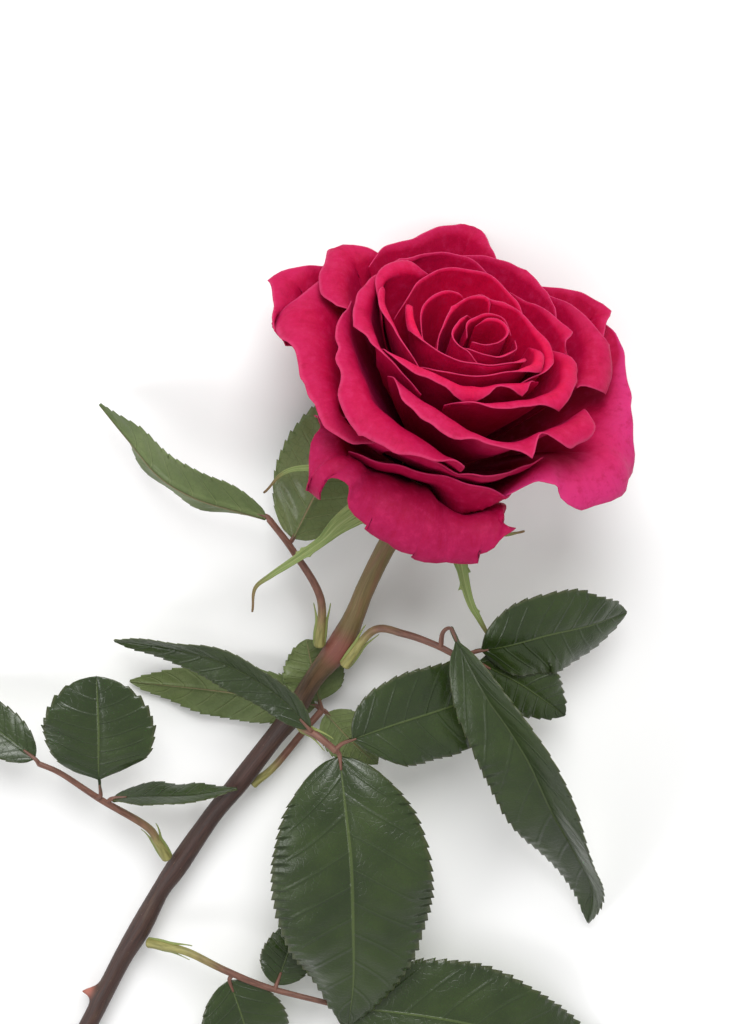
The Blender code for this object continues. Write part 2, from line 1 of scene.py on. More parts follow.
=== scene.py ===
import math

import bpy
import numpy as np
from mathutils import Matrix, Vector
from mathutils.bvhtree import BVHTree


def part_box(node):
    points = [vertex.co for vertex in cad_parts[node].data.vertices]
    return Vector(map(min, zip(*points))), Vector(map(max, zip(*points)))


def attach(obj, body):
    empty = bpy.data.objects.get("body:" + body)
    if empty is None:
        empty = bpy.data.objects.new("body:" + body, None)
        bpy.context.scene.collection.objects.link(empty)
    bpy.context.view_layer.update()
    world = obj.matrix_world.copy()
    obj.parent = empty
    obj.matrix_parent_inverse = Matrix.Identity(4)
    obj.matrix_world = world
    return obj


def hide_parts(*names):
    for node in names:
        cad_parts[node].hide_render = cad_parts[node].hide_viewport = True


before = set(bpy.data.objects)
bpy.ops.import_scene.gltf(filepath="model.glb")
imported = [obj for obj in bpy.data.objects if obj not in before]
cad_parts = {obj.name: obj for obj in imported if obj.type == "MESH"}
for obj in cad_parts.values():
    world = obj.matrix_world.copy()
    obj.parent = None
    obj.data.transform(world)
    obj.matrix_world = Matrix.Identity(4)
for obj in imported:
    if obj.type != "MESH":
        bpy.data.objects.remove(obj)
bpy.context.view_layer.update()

# %% [markdown]
# # A cut rose, laid on a pale table
#
# This lesson dresses a rose that has already been modelled plainly. The plain model has one
# closed sheet for each petal, leaflet and sepal, a rod for each leaf stalk, and one solid for
# the cane. Here each of them gets a finer mesh and a finish worked out in shader nodes.
#
# A rose could be sculpted by hand, or grown by a simulation. It is written as rules instead,
# because a rose grows by rules: every petal starts on the same small dome, wraps the petals
# before it, and rolls its rim outward. Rules also let one number change all thirty petals.

MM = 0.001

# %% [markdown]
# ## Small geometry tools
#
# Petals, leaves and stalks all follow curves that pass through a few chosen points. A Bezier
# curve would need two handles at each of them, and a Catmull-Rom curve needs none. It is
# resampled at equal distances, so that the mesh squares stay about the same size wherever the
# chosen points are close together.

# %% Curves and directions
def curve(points, count):
    """A smooth curve through the points, resampled at equal distances. Extra columns ride along."""
    p = np.asarray(points, float)
    p = np.vstack([2 * p[0] - p[1], p, 2 * p[-1] - p[-2]])
    dense = []
    for a, b, c, d in zip(p, p[1:], p[2:], p[3:]):
        t = np.linspace(0, 1, 24, endpoint=False)[:, None]
        dense.append(0.5 * (2 * b + (c - a) * t + (2 * a - 5 * b + 4 * c - d) * t**2
                            + (3 * b - a - 3 * c + d) * t**3))
    dense = np.vstack(dense + [p[-2][None]])
    run = np.r_[0, np.cumsum(np.linalg.norm(np.diff(dense[:, :3], axis=0), axis=1))]
    at = np.linspace(0, run[-1], count)
    return np.stack([np.interp(at, run, dense[:, k]) for k in range(p.shape[1])], 1)


def unit(v):
    """The same directions with length one."""
    return v / np.maximum(np.linalg.norm(v, axis=-1, keepdims=True), 1e-9)


def ease(x, low, high):
    """0 below low, 1 above high, and a smooth step between."""
    t = np.clip((np.asarray(x, float) - low) / (high - low), 0, 1)
    return t * t * (3 - 2 * t)


print("a curve through three points:", curve([(0, 0, 0), (1, 1, 0), (2, 0, 0)], 5).round(2).tolist())

# %% [markdown]
# ## Where the rose lies
#
# Two frames are used. The cane, stalks and leaves are drawn in millimetres from a point below
# the neck. The bloom has its own frame: z runs up the flower's axis from where the petals are
# attached, and y points to the side of the flower that rests on the table, so a petal can be
# told by its angle round the flower, its distance from the axis and its height.

# %% The bloom's frame
AXIS = unit(np.array([0.241, 0.822, 0.516]))
DOWN_SIDE = np.array([-0.179, 0.560, -0.808])
DOWN_SIDE = unit(DOWN_SIDE - AXIS * (DOWN_SIDE @ AXIS))
HEART = np.array([14.0, 16.0, 22.0])
BLOOM = np.array([np.cross(DOWN_SIDE, AXIS), DOWN_SIDE, AXIS])


def to_rose(points):
    """From the bloom's own frame to the frame of the cane and leaves."""
    return points @ BLOOM + HEART


print("the flower's axis rises", round(math.degrees(math.asin(AXIS[2]))), "degrees off the table")

# %% [markdown]
# ## Petals told by their rims
#
# What the eye reads in an open rose is rims. So a petal is told by its rim only: angle round
# the flower in degrees, distance from the axis, height, and how far the edge is rolled back
# there, in millimetres. Then come the lean of the petal at its rim, the radius of the roll and
# the slope of its claw. The first nine are the tight heart, a spiral of upright scrolls.

# %% The heart
HEART_PETALS = {
    "petal_01": ([(95, 4, 49, 0), (64, 4, 52, 1), (32, 6, 52, 1), (2, 6, 52, 1),
                  (-28, 4, 51, 1), (-80, 3, 51, 0), (-149, 3, 50, 0)], -4, 0.8, 85),
    "petal_02": ([(170, 3, 49, 0), (131, 4, 51, 1), (93, 5, 51, 1), (63, 7, 51, 1),
                  (40, 9, 50, 0), (15, 9, 48, 0)], -4, 0.8, 85),
    "petal_03": ([(200, 5, 48, 0), (229, 6, 51, 0), (265, 6, 51, 0), (292, 7, 51, 1),
                  (322, 8, 51, 1), (345, 9, 49, 0), (370, 10, 47, 0)], -2, 0.8, 85),
    "petal_04": ([(85, 8, 47, 0), (105, 7, 50, 0), (125, 6, 51, 1), (142, 6, 51, 1),
                  (181, 7, 51, 1), (209, 7, 51, 1), (233, 7, 51, 0), (251, 8, 50, 0),
                  (275, 9, 47, 0)], 0, 0.8, 85),
    "petal_05": ([(60, 11, 45, 0), (66, 12, 48, 1), (72, 13, 50, 1), (91, 12, 50, 1),
                  (120, 10, 50, 1), (154, 9, 50, 1), (175, 10, 49, 0),
                  (195, 11, 46, 0)], 0, 0.9, 84),
    "petal_06": ([(86, 13, 45, 0), (98, 14, 49, 0), (110, 16, 49, 1), (130, 16, 49, 1),
                  (147, 15, 48, 1), (170, 13, 45, 0)], 4, 0.9, 83),
    "petal_07": ([(132, 19, 44, 1), (145, 18, 49, 3), (166, 16, 50, 3), (189, 14, 50, 1),
                  (221, 11, 51, 1), (250, 9, 51, 1), (272, 9, 51, 1), (302, 10, 51, 1),
                  (327, 11, 50, 2), (346, 12, 46, 0)], 4, 1.1, 83),
    "petal_08": ([(202, 17, 46, 0), (220, 16, 50, 1), (245, 13, 50, 1), (269, 12, 51, 1),
                  (296, 12, 51, 1), (315, 13, 51, 3), (330, 14, 50, 4), (348, 14, 49, 3),
                  (365, 14, 45, 0)], 6, 1.4, 82),
    "petal_09": ([(96, 15, 45, 0), (80, 14, 49, 0), (66, 13, 49, 1), (54, 14, 49, 1),
                  (36, 15, 49, 1), (12, 15, 49, 2), (-2, 16, 49, 3), (-12, 17, 48, 3),
                  (-26, 17, 48, 2), (-44, 15, 48, 1), (-60, 14, 46, 0)], 7, 1.5, 82),
}
print(len(HEART_PETALS), "petals in the heart")

# %% [markdown]
# The next twelve stand round the heart. Their rims are higher at the back than in front, and
# they roll back a few millimetres, which draws the bright lines that circle the bloom.

# %% The ring of half-open petals
RING_PETALS = {
    "petal_10": ([(146, 21, 42, 0), (134, 21, 46, 0), (118, 23, 46, 1), (100, 25, 46, 1),
                  (84, 26, 45, 1), (70, 26, 45, 1), (58, 22, 46, 1), (43, 18, 47, 1),
                  (24, 17, 44, 0)], 8, 1.2, 80),
    "petal_11": ([(132, 28, 43, 0), (138, 27, 47, 2), (148, 25, 48, 3), (167, 21, 49, 2),
                  (190, 19, 49, 1), (206, 17, 46, 0)], 10, 1.8, 80),
    "petal_12": ([(178, 24, 44, 0), (187, 23, 48, 2), (203, 19, 49, 4), (220, 17, 50, 4),
                  (240, 16, 50, 5), (250, 15, 50, 6), (260, 15, 50, 4), (273, 14, 50, 2),
                  (285, 14, 50, 3), (298, 15, 50, 4), (310, 16, 49, 1),
                  (322, 17, 46, 0)], 10, 2.0, 80),
    "petal_13": ([(236, 19, 44, 0), (250, 18, 48, 2), (275, 18, 49, 4), (300, 19, 48, 4),
                  (318, 21, 48, 6), (330, 22, 48, 5), (345, 22, 47, 6), (355, 22, 46, 4),
                  (366, 20, 43, 0)], 12, 2.6, 78),
    "petal_14": ([(152, 22, 42, 0), (138, 26, 46, 4), (128, 27, 48, 6), (117, 26, 48, 5),
                  (106, 25, 45, 1)], 10, 3.0, 78),
    "petal_15": ([(56, 25, 43, 0), (46, 22, 46, 1), (36, 21, 48, 1), (28, 23, 47, 2),
                  (13, 24, 47, 3), (4, 23, 47, 1), (-2, 23, 45, 0)], 12, 2.2, 77),
    "petal_16": ([(118, 31, 40, 0), (130, 30, 45, 4), (147, 28, 46, 6), (161, 26, 46, 6),
                  (175, 24, 47, 5), (190, 22, 47, 3), (203, 21, 46, 2),
                  (218, 20, 43, 0)], 16, 3.5, 74),
    "petal_17": ([(137, 28, 41, 0), (126, 30, 45, 1), (113, 31, 45, 2), (98, 32, 44, 1),
                  (88, 32, 44, 1), (76, 30, 44, 1), (66, 27, 42, 0)], 14, 2.5, 74),
    "petal_18": ([(90, 34, 40, 0), (79, 33, 43, 1), (66, 34, 43, 2), (55, 35, 42, 2),
                  (45, 32, 43, 2), (33, 28, 45, 1), (22, 25, 45, 1),
                  (8, 23, 42, 0)], 18, 3.0, 72),
    "petal_19": ([(196, 24, 43, 0), (207, 24, 47, 4), (227, 24, 48, 8), (247, 25, 48, 8),
                  (262, 27, 47, 5), (275, 28, 46, 5), (284, 28, 46, 6), (292, 28, 47, 2),
                  (301, 28, 47, 9), (313, 29, 46, 9), (323, 30, 45, 6),
                  (331, 30, 41, 0)], 18, 4.5, 72),
    "petal_20": ([(52, 30, 39, 0), (42, 34, 39, 1), (33, 35, 41, 2), (22, 35, 42, 5),
                  (12, 34, 42, 8), (4, 32, 41, 11), (-5, 30, 41, 10), (-16, 27, 41, 2)],
                  22, 4.5, 70),
    "petal_21": ([(144, 33, 40, 1), (159, 32, 43, 5), (175, 31, 44, 7), (192, 31, 45, 9),
                  (205, 32, 45, 11), (218, 31, 44, 12), (232, 30, 43, 10), (246, 30, 41, 6),
                  (257, 31, 38, 2)], 26, 6.0, 68),
}
print(len(RING_PETALS), "half-open petals")

# %% [markdown]
# The last nine are the open outer petals. Some of them lean far out, the ones below rest on
# the table, and the last one has folded right back over the hip.

# %% The outer petals
OUTER_PETALS = {
    "petal_22": ([(122, 37, 39, 0), (111, 40, 40, 2), (98, 41, 40, 3), (88, 45, 39, 3),
                  (80, 48, 38, 3), (75, 48, 38, 4), (71, 42, 39, 2), (66, 34, 41, 0)],
                  30, 4.0, 62),
    "petal_23": ([(51, 33, 38, 0), (45, 37, 39, 1), (38, 40, 40, 2), (32, 44, 39, 2),
                  (27, 46, 38, 3), (22, 43, 38, 3), (14, 39, 37, 1)], 34, 4.0, 60),
    "petal_24": ([(110, 39, 37, 0), (116, 42, 39, 4), (122, 44, 39, 8), (130, 41, 39, 9),
                  (139, 37, 39, 8), (146, 32, 38, 3)], 36, 5.0, 60),
    "petal_25": ([(192, 33, 28, 0), (204, 30, 31, 1), (218, 28, 32, 2), (232, 27, 33, 2),
                  (246, 27, 33, 1), (260, 27, 32, 1), (274, 28, 32, 1), (290, 28, 33, 1),
                  (306, 28, 32, 0)], 14, 3.0, 70),
    "petal_26": ([(123, 44, 33, 0), (135, 43, 35, 8), (144, 42, 36, 14), (153, 41, 36, 15),
                  (165, 39, 36, 11), (180, 37, 36, 10), (195, 36, 36, 11), (205, 34, 35, 10),
                  (215, 30, 34, 6), (223, 27, 32, 2)], 50, 9.0, 52),
    "petal_27": ([(118, 45, 30, 0), (126, 48, 31, 2), (133, 51, 32, 4), (138, 52, 32, 7),
                  (144, 49, 31, 6), (152, 45, 30, 4), (160, 41, 29, 1)], 50, 6.0, 50),
    "petal_28": ([(27, 49, 31, 0), (16, 47, 33, 1), (3, 44, 34, 4), (-12, 42, 34, 9),
                  (-25, 41, 34, 15), (-34, 41, 34, 17), (-42, 39, 34, 16), (-50, 36, 34, 15),
                  (-57, 33, 34, 10), (-64, 31, 31, 5), (-71, 29, 25, 3), (-79, 27, 18, 1),
                  (-88, 25, 13, 1), (-96, 24, 9, 0)], 50, 9.0, 50),
    "petal_29": ([(205, 32, 22, 0), (216, 31, 25, 1), (229, 28, 27, 1), (240, 27, 28, 2),
                  (252, 27, 29, 1), (266, 26, 28, 1), (279, 25, 27, 1), (290, 25, 24, 1),
                  (299, 24, 19, 0)], 18, 3.0, 66),
    "petal_30": ([(177, 34, 17, 1), (184, 35, 22, 3), (192, 36, 26, 7), (198, 37, 26, 14),
                  (204, 38, 27, 20), (210, 38, 27, 20), (215, 38, 26, 12), (219, 38, 25, 9),
                  (224, 37, 24, 14), (232, 35, 23, 18), (244, 34, 21, 19), (258, 33, 20, 20),
                  (271, 32, 19, 19), (279, 33, 19, 15), (286, 35, 18, 11), (292, 34, 15, 4)],
                  72, 11.0, 38),
}
PETALS = {**HEART_PETALS, **RING_PETALS, **OUTER_PETALS}
print(len(OUTER_PETALS), "outer petals")

# %% [markdown]
# ## From a rim to a petal
#
# A rose petal is narrow and upright at its claw, swells into a cup, and turns its rim out and
# down. The rim comes first. Real rims are never even: they ripple where the edge grew faster
# than the middle, and here and there they come to a small point. A texture could only paint
# that, so the ripples are added to the rim's own curve. Each petal draws them with its own
# seed, so they come out the same every time.

# %% Ripples and points along a rim
RIPPLE_OUT, RIPPLE_UP = 0.40, 0.50      # how far an outer petal's rim waves, in millimetres

# Where a rim comes to a point: the angle round the flower, and how far the point sticks out.
POINTS = {
    "petal_05": [(120, 0.8)], "petal_07": [(166, 1.0)], "petal_08": [(330, 1.6)],
    "petal_09": [(348, 1.5), (54, 0.8)], "petal_12": [(250, 2.6), (298, 1.8)],
    "petal_13": [(318, 2.4), (345, 1.8)], "petal_15": [(13, 1.6)], "petal_16": [(161, 1.2)],
    "petal_17": [(113, 1.0)], "petal_18": [(55, 1.8)], "petal_19": [(284, 2.2), (323, 1.6)],
    "petal_20": [(12, 1.8), (356, 2.4)], "petal_21": [(212, 1.6), (257, 3.0)],
    "petal_22": [(77, 3.2)], "petal_23": [(27, 2.6)], "petal_24": [(122, 4.0)],
    "petal_26": [(149, 3.2)], "petal_27": [(139, 2.2)], "petal_28": [(334, 3.0)],
    "petal_30": [(201, 2.6), (277, 2.4)],
}


def ripple(s, seed, waves):
    """A soft uneven wave along a rim, always the same for the same petal."""
    rng = np.random.default_rng(seed)
    wave = sum(rng.uniform(0.5, 1) / k**0.7 * np.sin(2 * np.pi * (k * waves * s + rng.random()))
               for k in (1, 2, 3.3))
    return wave / 1.6


def rim_line(rim, size, seed, points):
    """A rippled rim: shares of length, points, outward directions, length of lip, waves."""
    deg, r, h, lip = np.array(rim, float).T
    line = np.stack([r * np.cos(np.radians(deg)), r * np.sin(np.radians(deg)), h, lip], 1)
    length = np.linalg.norm(np.diff(line[:, :3], axis=0), axis=1).sum()
    count = int(np.clip(length / 1.1, 30, 72))
    line = curve(line, count)
    top, lip = line[:, :3].copy(), np.clip(line[:, 3], 0.5, None)
    s, waves = np.linspace(0, 1, count), length / 22
    along = unit(np.gradient(top, axis=0))
    out = unit(np.stack([along[:, 1], -along[:, 0], 0 * s], 1))
    out *= np.sign(np.median((out * top).sum(1)))
    top += out * (size * RIPPLE_OUT * ripple(s, seed, waves))[:, None]
    top[:, 2] += size * RIPPLE_UP * ripple(s, seed + 50, waves)
    lip = lip + np.minimum(lip, 7) * 0.09 * ripple(s, seed + 90, waves * 1.3)
    turned = np.degrees(np.unwrap(np.arctan2(line[:, 1], line[:, 0])))
    for at, long in points:
        nearest = np.argmin(np.abs((turned - at + 180) % 360 - 180))
        lip = lip + long * np.exp(-np.abs(s - s[nearest]) / 0.035)
    lip = lip * (0.35 + 0.65 * ease(np.minimum(s, 1 - s), 0, 0.10))
    return s, top, out, lip, waves


print(sum(map(len, POINTS.values())), "small points on the rims")

# %% [markdown]
# ## The claw and the roll
#
# One cubic curve from the claw to the rim gives the cup, and an arc past the rim gives the
# roll. Two handles and a radius could be bent by hand in the viewport as well, but told this
# way the claw is sure to stand on the dome and the cup to meet the roll without a kink.

# %% One petal as a grid of points
CLAW_HALF = (20, 48)                # half the claw's share of the dome in degrees, heart to outside
CUP_ROWS, LIP_ROWS = 26, 11
HANDLE = 0.36                       # how far the cup's handles reach, as a share of its height
MOST_ROLLED = math.radians(165)     # a lip rolls this far and then runs straight


def dome(h):
    """Radius of the fleshy dome that carries the petals, at height h."""
    return np.interp(h, [0, 2, 4, 6, 8, 9.5], [7.5, 7.2, 6.2, 4.8, 3.0, 0.8])


def claw_line(top, s, slope, rank):
    """Where each strip of the petal leaves the dome, and in which direction."""
    mid = unit(top[:, :2].mean(0))
    turn = np.sign(np.median(top[:-1, 0] * top[1:, 1] - top[:-1, 1] * top[1:, 0]))
    half = np.radians(np.interp(rank, [0.3, 0.6], CLAW_HALF))
    ang = np.arctan2(mid[1], mid[0]) + turn * half * (2 * s - 1)
    base_h = 8.6 * (1 - rank) ** 0.9 + 0.4
    radial = np.stack([np.cos(ang), np.sin(ang), 0 * ang], 1)
    steep = np.radians(slope)
    foot = radial * (dome(base_h) + 0.5) + np.array([0, 0, base_h])
    return foot, np.cos(steep) * radial + np.sin(steep) * np.array([0, 0, 1.0])


def petal_grid(rim, lean, roll, slope, rank, seed, points=()):
    """Points across the petal, and from its claw up over the rolled rim."""
    s, top, out, lip, waves = rim_line(rim, 0.25 + 0.75 * rank, seed, points)
    lean = np.radians(lean)
    rise = unit(np.cos(lean) * np.array([0, 0, 1.0]) + np.sin(lean) * out)
    back = unit(np.cross(unit(np.gradient(top, axis=0)), rise))
    back *= np.sign((back * out).sum(1, keepdims=True))
    bend = roll * (1 + 0.15 * ripple(s, seed + 130, waves))
    top = top - rise * (bend * np.sin(np.minimum(lip / bend, np.pi / 2)))[:, None]
    foot, start = claw_line(top, s, slope, rank)
    reach = HANDLE * np.linalg.norm(top - foot, axis=1, keepdims=True)
    c1, c2 = foot + start * reach, top - rise * reach
    rows = [(1 - t) ** 3 * foot + 3 * t * (1 - t) ** 2 * c1 + 3 * t * t * (1 - t) * c2 + t**3 * top
            for t in np.linspace(0, 1, CUP_ROWS)]
    for t in np.linspace(0, 1, LIP_ROWS + 1)[1:]:
        a = np.minimum(t * lip / bend, MOST_ROLLED)
        rest = np.maximum(t * lip - bend * MOST_ROLLED, 0)
        rows.append(top + (bend * np.sin(a) + rest * np.cos(a))[:, None] * rise
                    + (bend * (1 - np.cos(a)) + rest * np.sin(a))[:, None] * back)
    return np.stack(rows, 1)


sample = petal_grid(*PETALS["petal_21"], 0.7, 21)
print("petal_21 is a grid of", sample.shape[:2], "points")

# %% [markdown]
# ## Wrapping the petals
#
# Thirty separate curved sheets in one flower would cut through each other. Cloth simulation
# could push them apart, but it is slow and never twice the same. Instead the petals are placed
# from the heart outward, and each new petal slides outward along slanting rays until every
# point of it is clear of the petals inside it. The slide is spread smoothly over the sheet,
# so a petal that has to make room bulges, as a real one does, and doesn't crease.

# %% Which way a petal's back faces, and its rays
def outward(grid):
    """Directions square to the petal that leave the flower, judged on its lower half."""
    away = unit(np.cross(np.gradient(grid, axis=0), np.gradient(grid, axis=1)))
    low = grid[:, : grid.shape[1] // 2, :2]
    return away * np.sign(np.median((away[:, : low.shape[1], :2] * low).sum(-1)))


def rays(points, tilt):
    """For every point its slanting ray: the distance along it, where it starts, its direction."""
    r = np.linalg.norm(points[..., :2], axis=-1)
    radial = points[..., :2] / np.maximum(r, 1e-6)[..., None]
    way = np.concatenate([radial * np.cos(tilt), np.full(r.shape + (1,), np.sin(tilt))], -1)
    s = r / np.cos(tilt)
    return s, points - way * s[..., None], way


print("the back of petal_21 faces", unit(outward(sample).mean((0, 1))).round(2))

# %% Settling each petal round the ones inside it
CLEAR = 0.45            # room left between two petals' middles, in millimetres
CLOSE_ENOUGH = 0.02     # a petal that still has to move less than this stays where it is
BEYOND = 120            # where the rays start, well outside the flower
SMOOTHING = 60          # rounds of evening out one slide
TILT = [30, 10, -35]    # slant of the rays in degrees, from the heart to the outer petals


def spread(need, rounds):
    """The smoothest cover that lies nowhere below what is needed."""
    cover = need.copy()
    for _ in range(rounds):
        pad = np.pad(cover, 1, mode="edge")
        mean = (pad[:-2, 1:-1] + pad[2:, 1:-1] + pad[1:-1, :-2] + pad[1:-1, 2:]) / 4
        cover = np.maximum(need, mean)
        cover[:, 0] = need[:, 0]
    return cover


def settle(grid, inside, tilt, passes=8):
    """Slide a petal outward until it clears everything in the tree of inner petals."""
    for _ in range(passes):
        s, origin, way = rays(grid, tilt)
        need = np.zeros(grid.shape[:2])
        far = origin + way * BEYOND
        for k in np.ndindex(need.shape):
            hit = inside.ray_cast(far[k], -way[k])[0]
            if hit is not None:
                need[k] = max((np.array(hit) - origin[k]) @ way[k] + CLEAR - s[k], 0)
        if need.max() < CLOSE_ENOUGH:
            break
        grid = grid + way * spread(need, SMOOTHING)[..., None]
    return grid


print("neighbouring petals keep", CLEAR, "mm apart")

# %% All the petals, from the heart outward
BACK = 0.4              # how far behind its middle a petal's back is, for the next one to miss


def squares(nu, nv, first=0):
    """Faces of a grid whose points are numbered row by row from first."""
    i, j = np.meshgrid(np.arange(nu - 1), np.arange(nv - 1), indexing="ij")
    a = (first + i * nv + j).ravel()
    return np.stack([a, a + nv, a + nv + 1, a + 1], 1)


def wrap_petals():
    """Every petal's grid and outward normals, from the heart to the loose outer ones."""
    made, verts, faces = {}, [], []
    for k, (name, told) in enumerate(PETALS.items()):
        rank = k / (len(PETALS) - 1)
        grid = petal_grid(*told, rank, k + 1, POINTS.get(name, ()))
        if verts:
            tilt = np.radians(np.interp(rank, [0, 0.5, 1], TILT))
            grid = settle(grid, BVHTree.FromPolygons(verts, faces), tilt)
        away = outward(grid)
        made[name] = (grid, away)
        for side in (grid, grid + away * BACK):
            faces += squares(*grid.shape[:2], len(verts)).tolist()
            verts += side.reshape(-1, 3).tolist()
    return made


flower = wrap_petals()
print(len(flower), "petals wrapped,", sum(grid[..., 0].size for grid, _ in flower.values()), "points")

# %% [markdown]
# ## Thin sheets with two faces
#
# A petal or leaf has two different faces, and both show: a rolled rim shows the back of the
# petal. So each sheet is built as an upper layer, an under layer and a narrow rounded edge.
# Solidify could add the second layer, but then the finish wouldn't know which face it is on.
# Every point carries three numbers for the finish to read: how far across it is, how far
# along from the base, and which face it belongs to.

# %% Building a sheet
def two_faced(upper, under, across, along):
    """Points, faces and place numbers of a closed sheet with a rounded edge between two layers."""
    nu, nv = upper.shape[:2]
    points = [upper.reshape(-1, 3), under.reshape(-1, 3)]
    place = [np.stack([across, along, 0 * across], -1).reshape(-1, 3),
             np.stack([across, along, 0 * across + 1], -1).reshape(-1, 3)]
    top = squares(nu, nv)
    faces = [top, squares(nu, nv, nu * nv)[:, ::-1]]
    ring = ([(i, 0) for i in range(nu)] + [(nu - 1, j) for j in range(1, nv)]
            + [(i, nv - 1) for i in range(nu - 2, -1, -1)] + [(0, j) for j in range(nv - 2, 0, -1)])
    ring = np.array(ring)
    a = ring[:, 0] * nv + ring[:, 1]
    b = a + nu * nv
    inner = ring + np.sign(np.array([nu - 1, nv - 1]) / 2 - ring).astype(int) * (
        (ring == 0) | (ring == np.array([nu - 1, nv - 1])))
    edge_up, edge_down = upper[ring[:, 0], ring[:, 1]], under[ring[:, 0], ring[:, 1]]
    out = unit(edge_up - upper[inner[:, 0], inner[:, 1]])
    thick = np.linalg.norm(edge_up - edge_down, axis=1, keepdims=True)
    points.append((edge_up + edge_down) / 2 + out * thick * 0.4)
    flat = np.stack([across, along, 0 * across + 0.5], -1)
    place.append(flat[ring[:, 0], ring[:, 1]])
    c = 2 * nu * nv + np.arange(len(ring))
    nxt = np.roll(np.arange(len(ring)), -1)
    faces += [np.stack([a[nxt], a, c, c[nxt]], 1), np.stack([c[nxt], c, b, b[nxt]], 1)]
    return np.vstack(points), np.vstack(faces), np.vstack(place)


swatch = np.array([[(x, y, 0.0) for y in range(3)] for x in range(3)])
swatch_faces = two_faced(swatch, swatch, swatch[..., 0], swatch[..., 1])[1]
print("a sheet of 3 by 3 points closes with", len(swatch_faces), "faces")

# %% [markdown]
# ## Tubes
#
# The cane and the leaf stalks are all tubes of changing width. A curve with a bevel would be
# quicker, but rings of points can be moved one by one, which the bark and the prickle need.
# The rings keep in step along the line, so the streaks of the bark run lengthwise and don't
# twist. A tube's ends are closed by a smaller ring and a middle point, which gives the cut
# end of the cane a crisp but not razor-sharp edge.

# %% Laying rings along a line
END_ROUND = 0.3         # how far a tube's end ring stands out, in millimetres


def line_length(line):
    return float(np.linalg.norm(np.diff(line[:, :3], axis=0), axis=1).sum())


def rings_round(line, sides, swell=1.0):
    """Rings of points round a line of middles and radii, their angles, the line's directions."""
    along = unit(np.gradient(line[:, :3], axis=0))
    side = unit(np.cross(along, np.array([0.1, 0.2, 1.0])))
    rise = np.cross(side, along)
    turn = np.linspace(0, 2 * np.pi, sides, endpoint=False)
    spoke = np.cos(turn)[:, None] * side[:, None] + np.sin(turn)[:, None] * rise[:, None]
    radius = line[:, 3:] * swell * np.ones(sides)
    return line[:, None, :3] + radius[..., None] * spoke, turn, along


def tube(line, sides, swell=1.0):
    """Points, faces and place numbers (turn, millimetres along, share of length) of a closed tube."""
    rings, turn, along = rings_round(line, sides, swell)
    mid = line[:, :3]
    run = np.r_[0, np.cumsum(np.linalg.norm(np.diff(mid, axis=0), axis=1))]
    first = mid[0] + (rings[0] - mid[0]) * 0.86 - along[0] * END_ROUND
    last = mid[-1] + (rings[-1] - mid[-1]) * 0.7 + along[-1] * END_ROUND
    rings = np.vstack([first[None], rings, last[None]])
    run = np.r_[run[0], run, run[-1]]
    n, k = len(rings), np.arange(sides)
    a = (np.arange(n - 1)[:, None] * sides + k).ravel()
    b = (np.arange(n - 1)[:, None] * sides + (k + 1) % sides).ravel()
    faces = np.stack([a, b, b + sides, a + sides], 1).tolist()
    points = np.vstack([rings.reshape(-1, 3), first.mean(0)[None], last.mean(0)[None]])
    end = (n - 1) * sides
    faces += np.stack([(k + 1) % sides, k, 0 * k + n * sides], 1).tolist()
    faces += np.stack([end + k, end + (k + 1) % sides, 0 * k + n * sides + 1], 1).tolist()
    place = np.stack(np.broadcast_arrays(turn[None] / (2 * np.pi), run[:, None],
                                         run[:, None] / run[-1]), -1)
    place = np.vstack([place.reshape(-1, 3), [(0, -1, 0)], [(0, run[-1], 1)]])
    return points, faces, place


straw = tube(np.array([(0, 0, 0, 1.0), (0, 5, 0, 1)]), 8)
print("a straight tube of 8 sides has", len(straw[1]), "faces")

# %% [markdown]
# ## The cane
#
# A rose cane isn't a straight rod. It bends a little at every node, the place where a leaf
# grew, and swells there. Just below the bloom it narrows to a neck and swells again into the
# hip. The middle line is told by stations with a radius at each one. The plain model was
# moved to the middle of its box after it was drawn, and the box of its cane tells how far.

# %% The cane's stations
STEM = [(-94, -184, 2.8, 2.6), (-81, -159, 3.6, 2.5), (-71, -138, 4.5, 2.6), (-65, -127, 5, 3.0),
        (-59, -115, 5.8, 2.5), (-54, -107, 6.4, 2.9), (-44, -91, 7.6, 2.5), (-36, -80, 8.5, 2.8),
        (-27, -67, 9.6, 2.6), (-22, -60, 10.2, 2.9), (-16, -49, 11.0, 2.6), (-9, -39, 12, 3.5),
        (-5, -30, 12.5, 2.7), (-2, -22, 12.8, 2.5), (3, -11, 13, 2.5), (8, -2, 13.6, 2.7)]
HIP = [(-10, 3.6), (-7, 5.2), (-4, 6.0), (-2, 6.2), (0, 7.4), (2, 7.1), (4, 6.1), (6, 4.7),
       (8, 2.9), (9.4, 0.8)]


PLAIN_SIDES = 10        # points round a ring of the plain cane


def hip_stations(part):
    """Stations of the hip and dome, told by height on the flower's axis and radius."""
    return [tuple(HEART + AXIS * h) + (r,) for h, r in part]


def cane_path(count=44):
    """The cane's middle line and radius, from the cut end to the tip of the dome."""
    return np.vstack([curve(STEM + hip_stations(HIP[:2]), count), hip_stations(HIP[2:])])


def home_shift():
    """How far the plain model moved the rose, from the lowest corner of its cane."""
    rings = rings_round(cane_path(), PLAIN_SIDES)[0]
    return np.array(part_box("stem")[0]) - rings.reshape(-1, 3).min(0) * MM


HOME = home_shift()
print("the plain model stands", (HOME / MM).round(2), "mm from where it was drawn")

# %% [markdown]
# ## One prickle
#
# Rose thorns are really prickles: they grow from the skin of the cane and not from its wood,
# so their foot is an oval that spreads smoothly into the bark. Here the rings near the foot
# are pulled out by a steep bell curve, and the tip leans back towards the cut end.

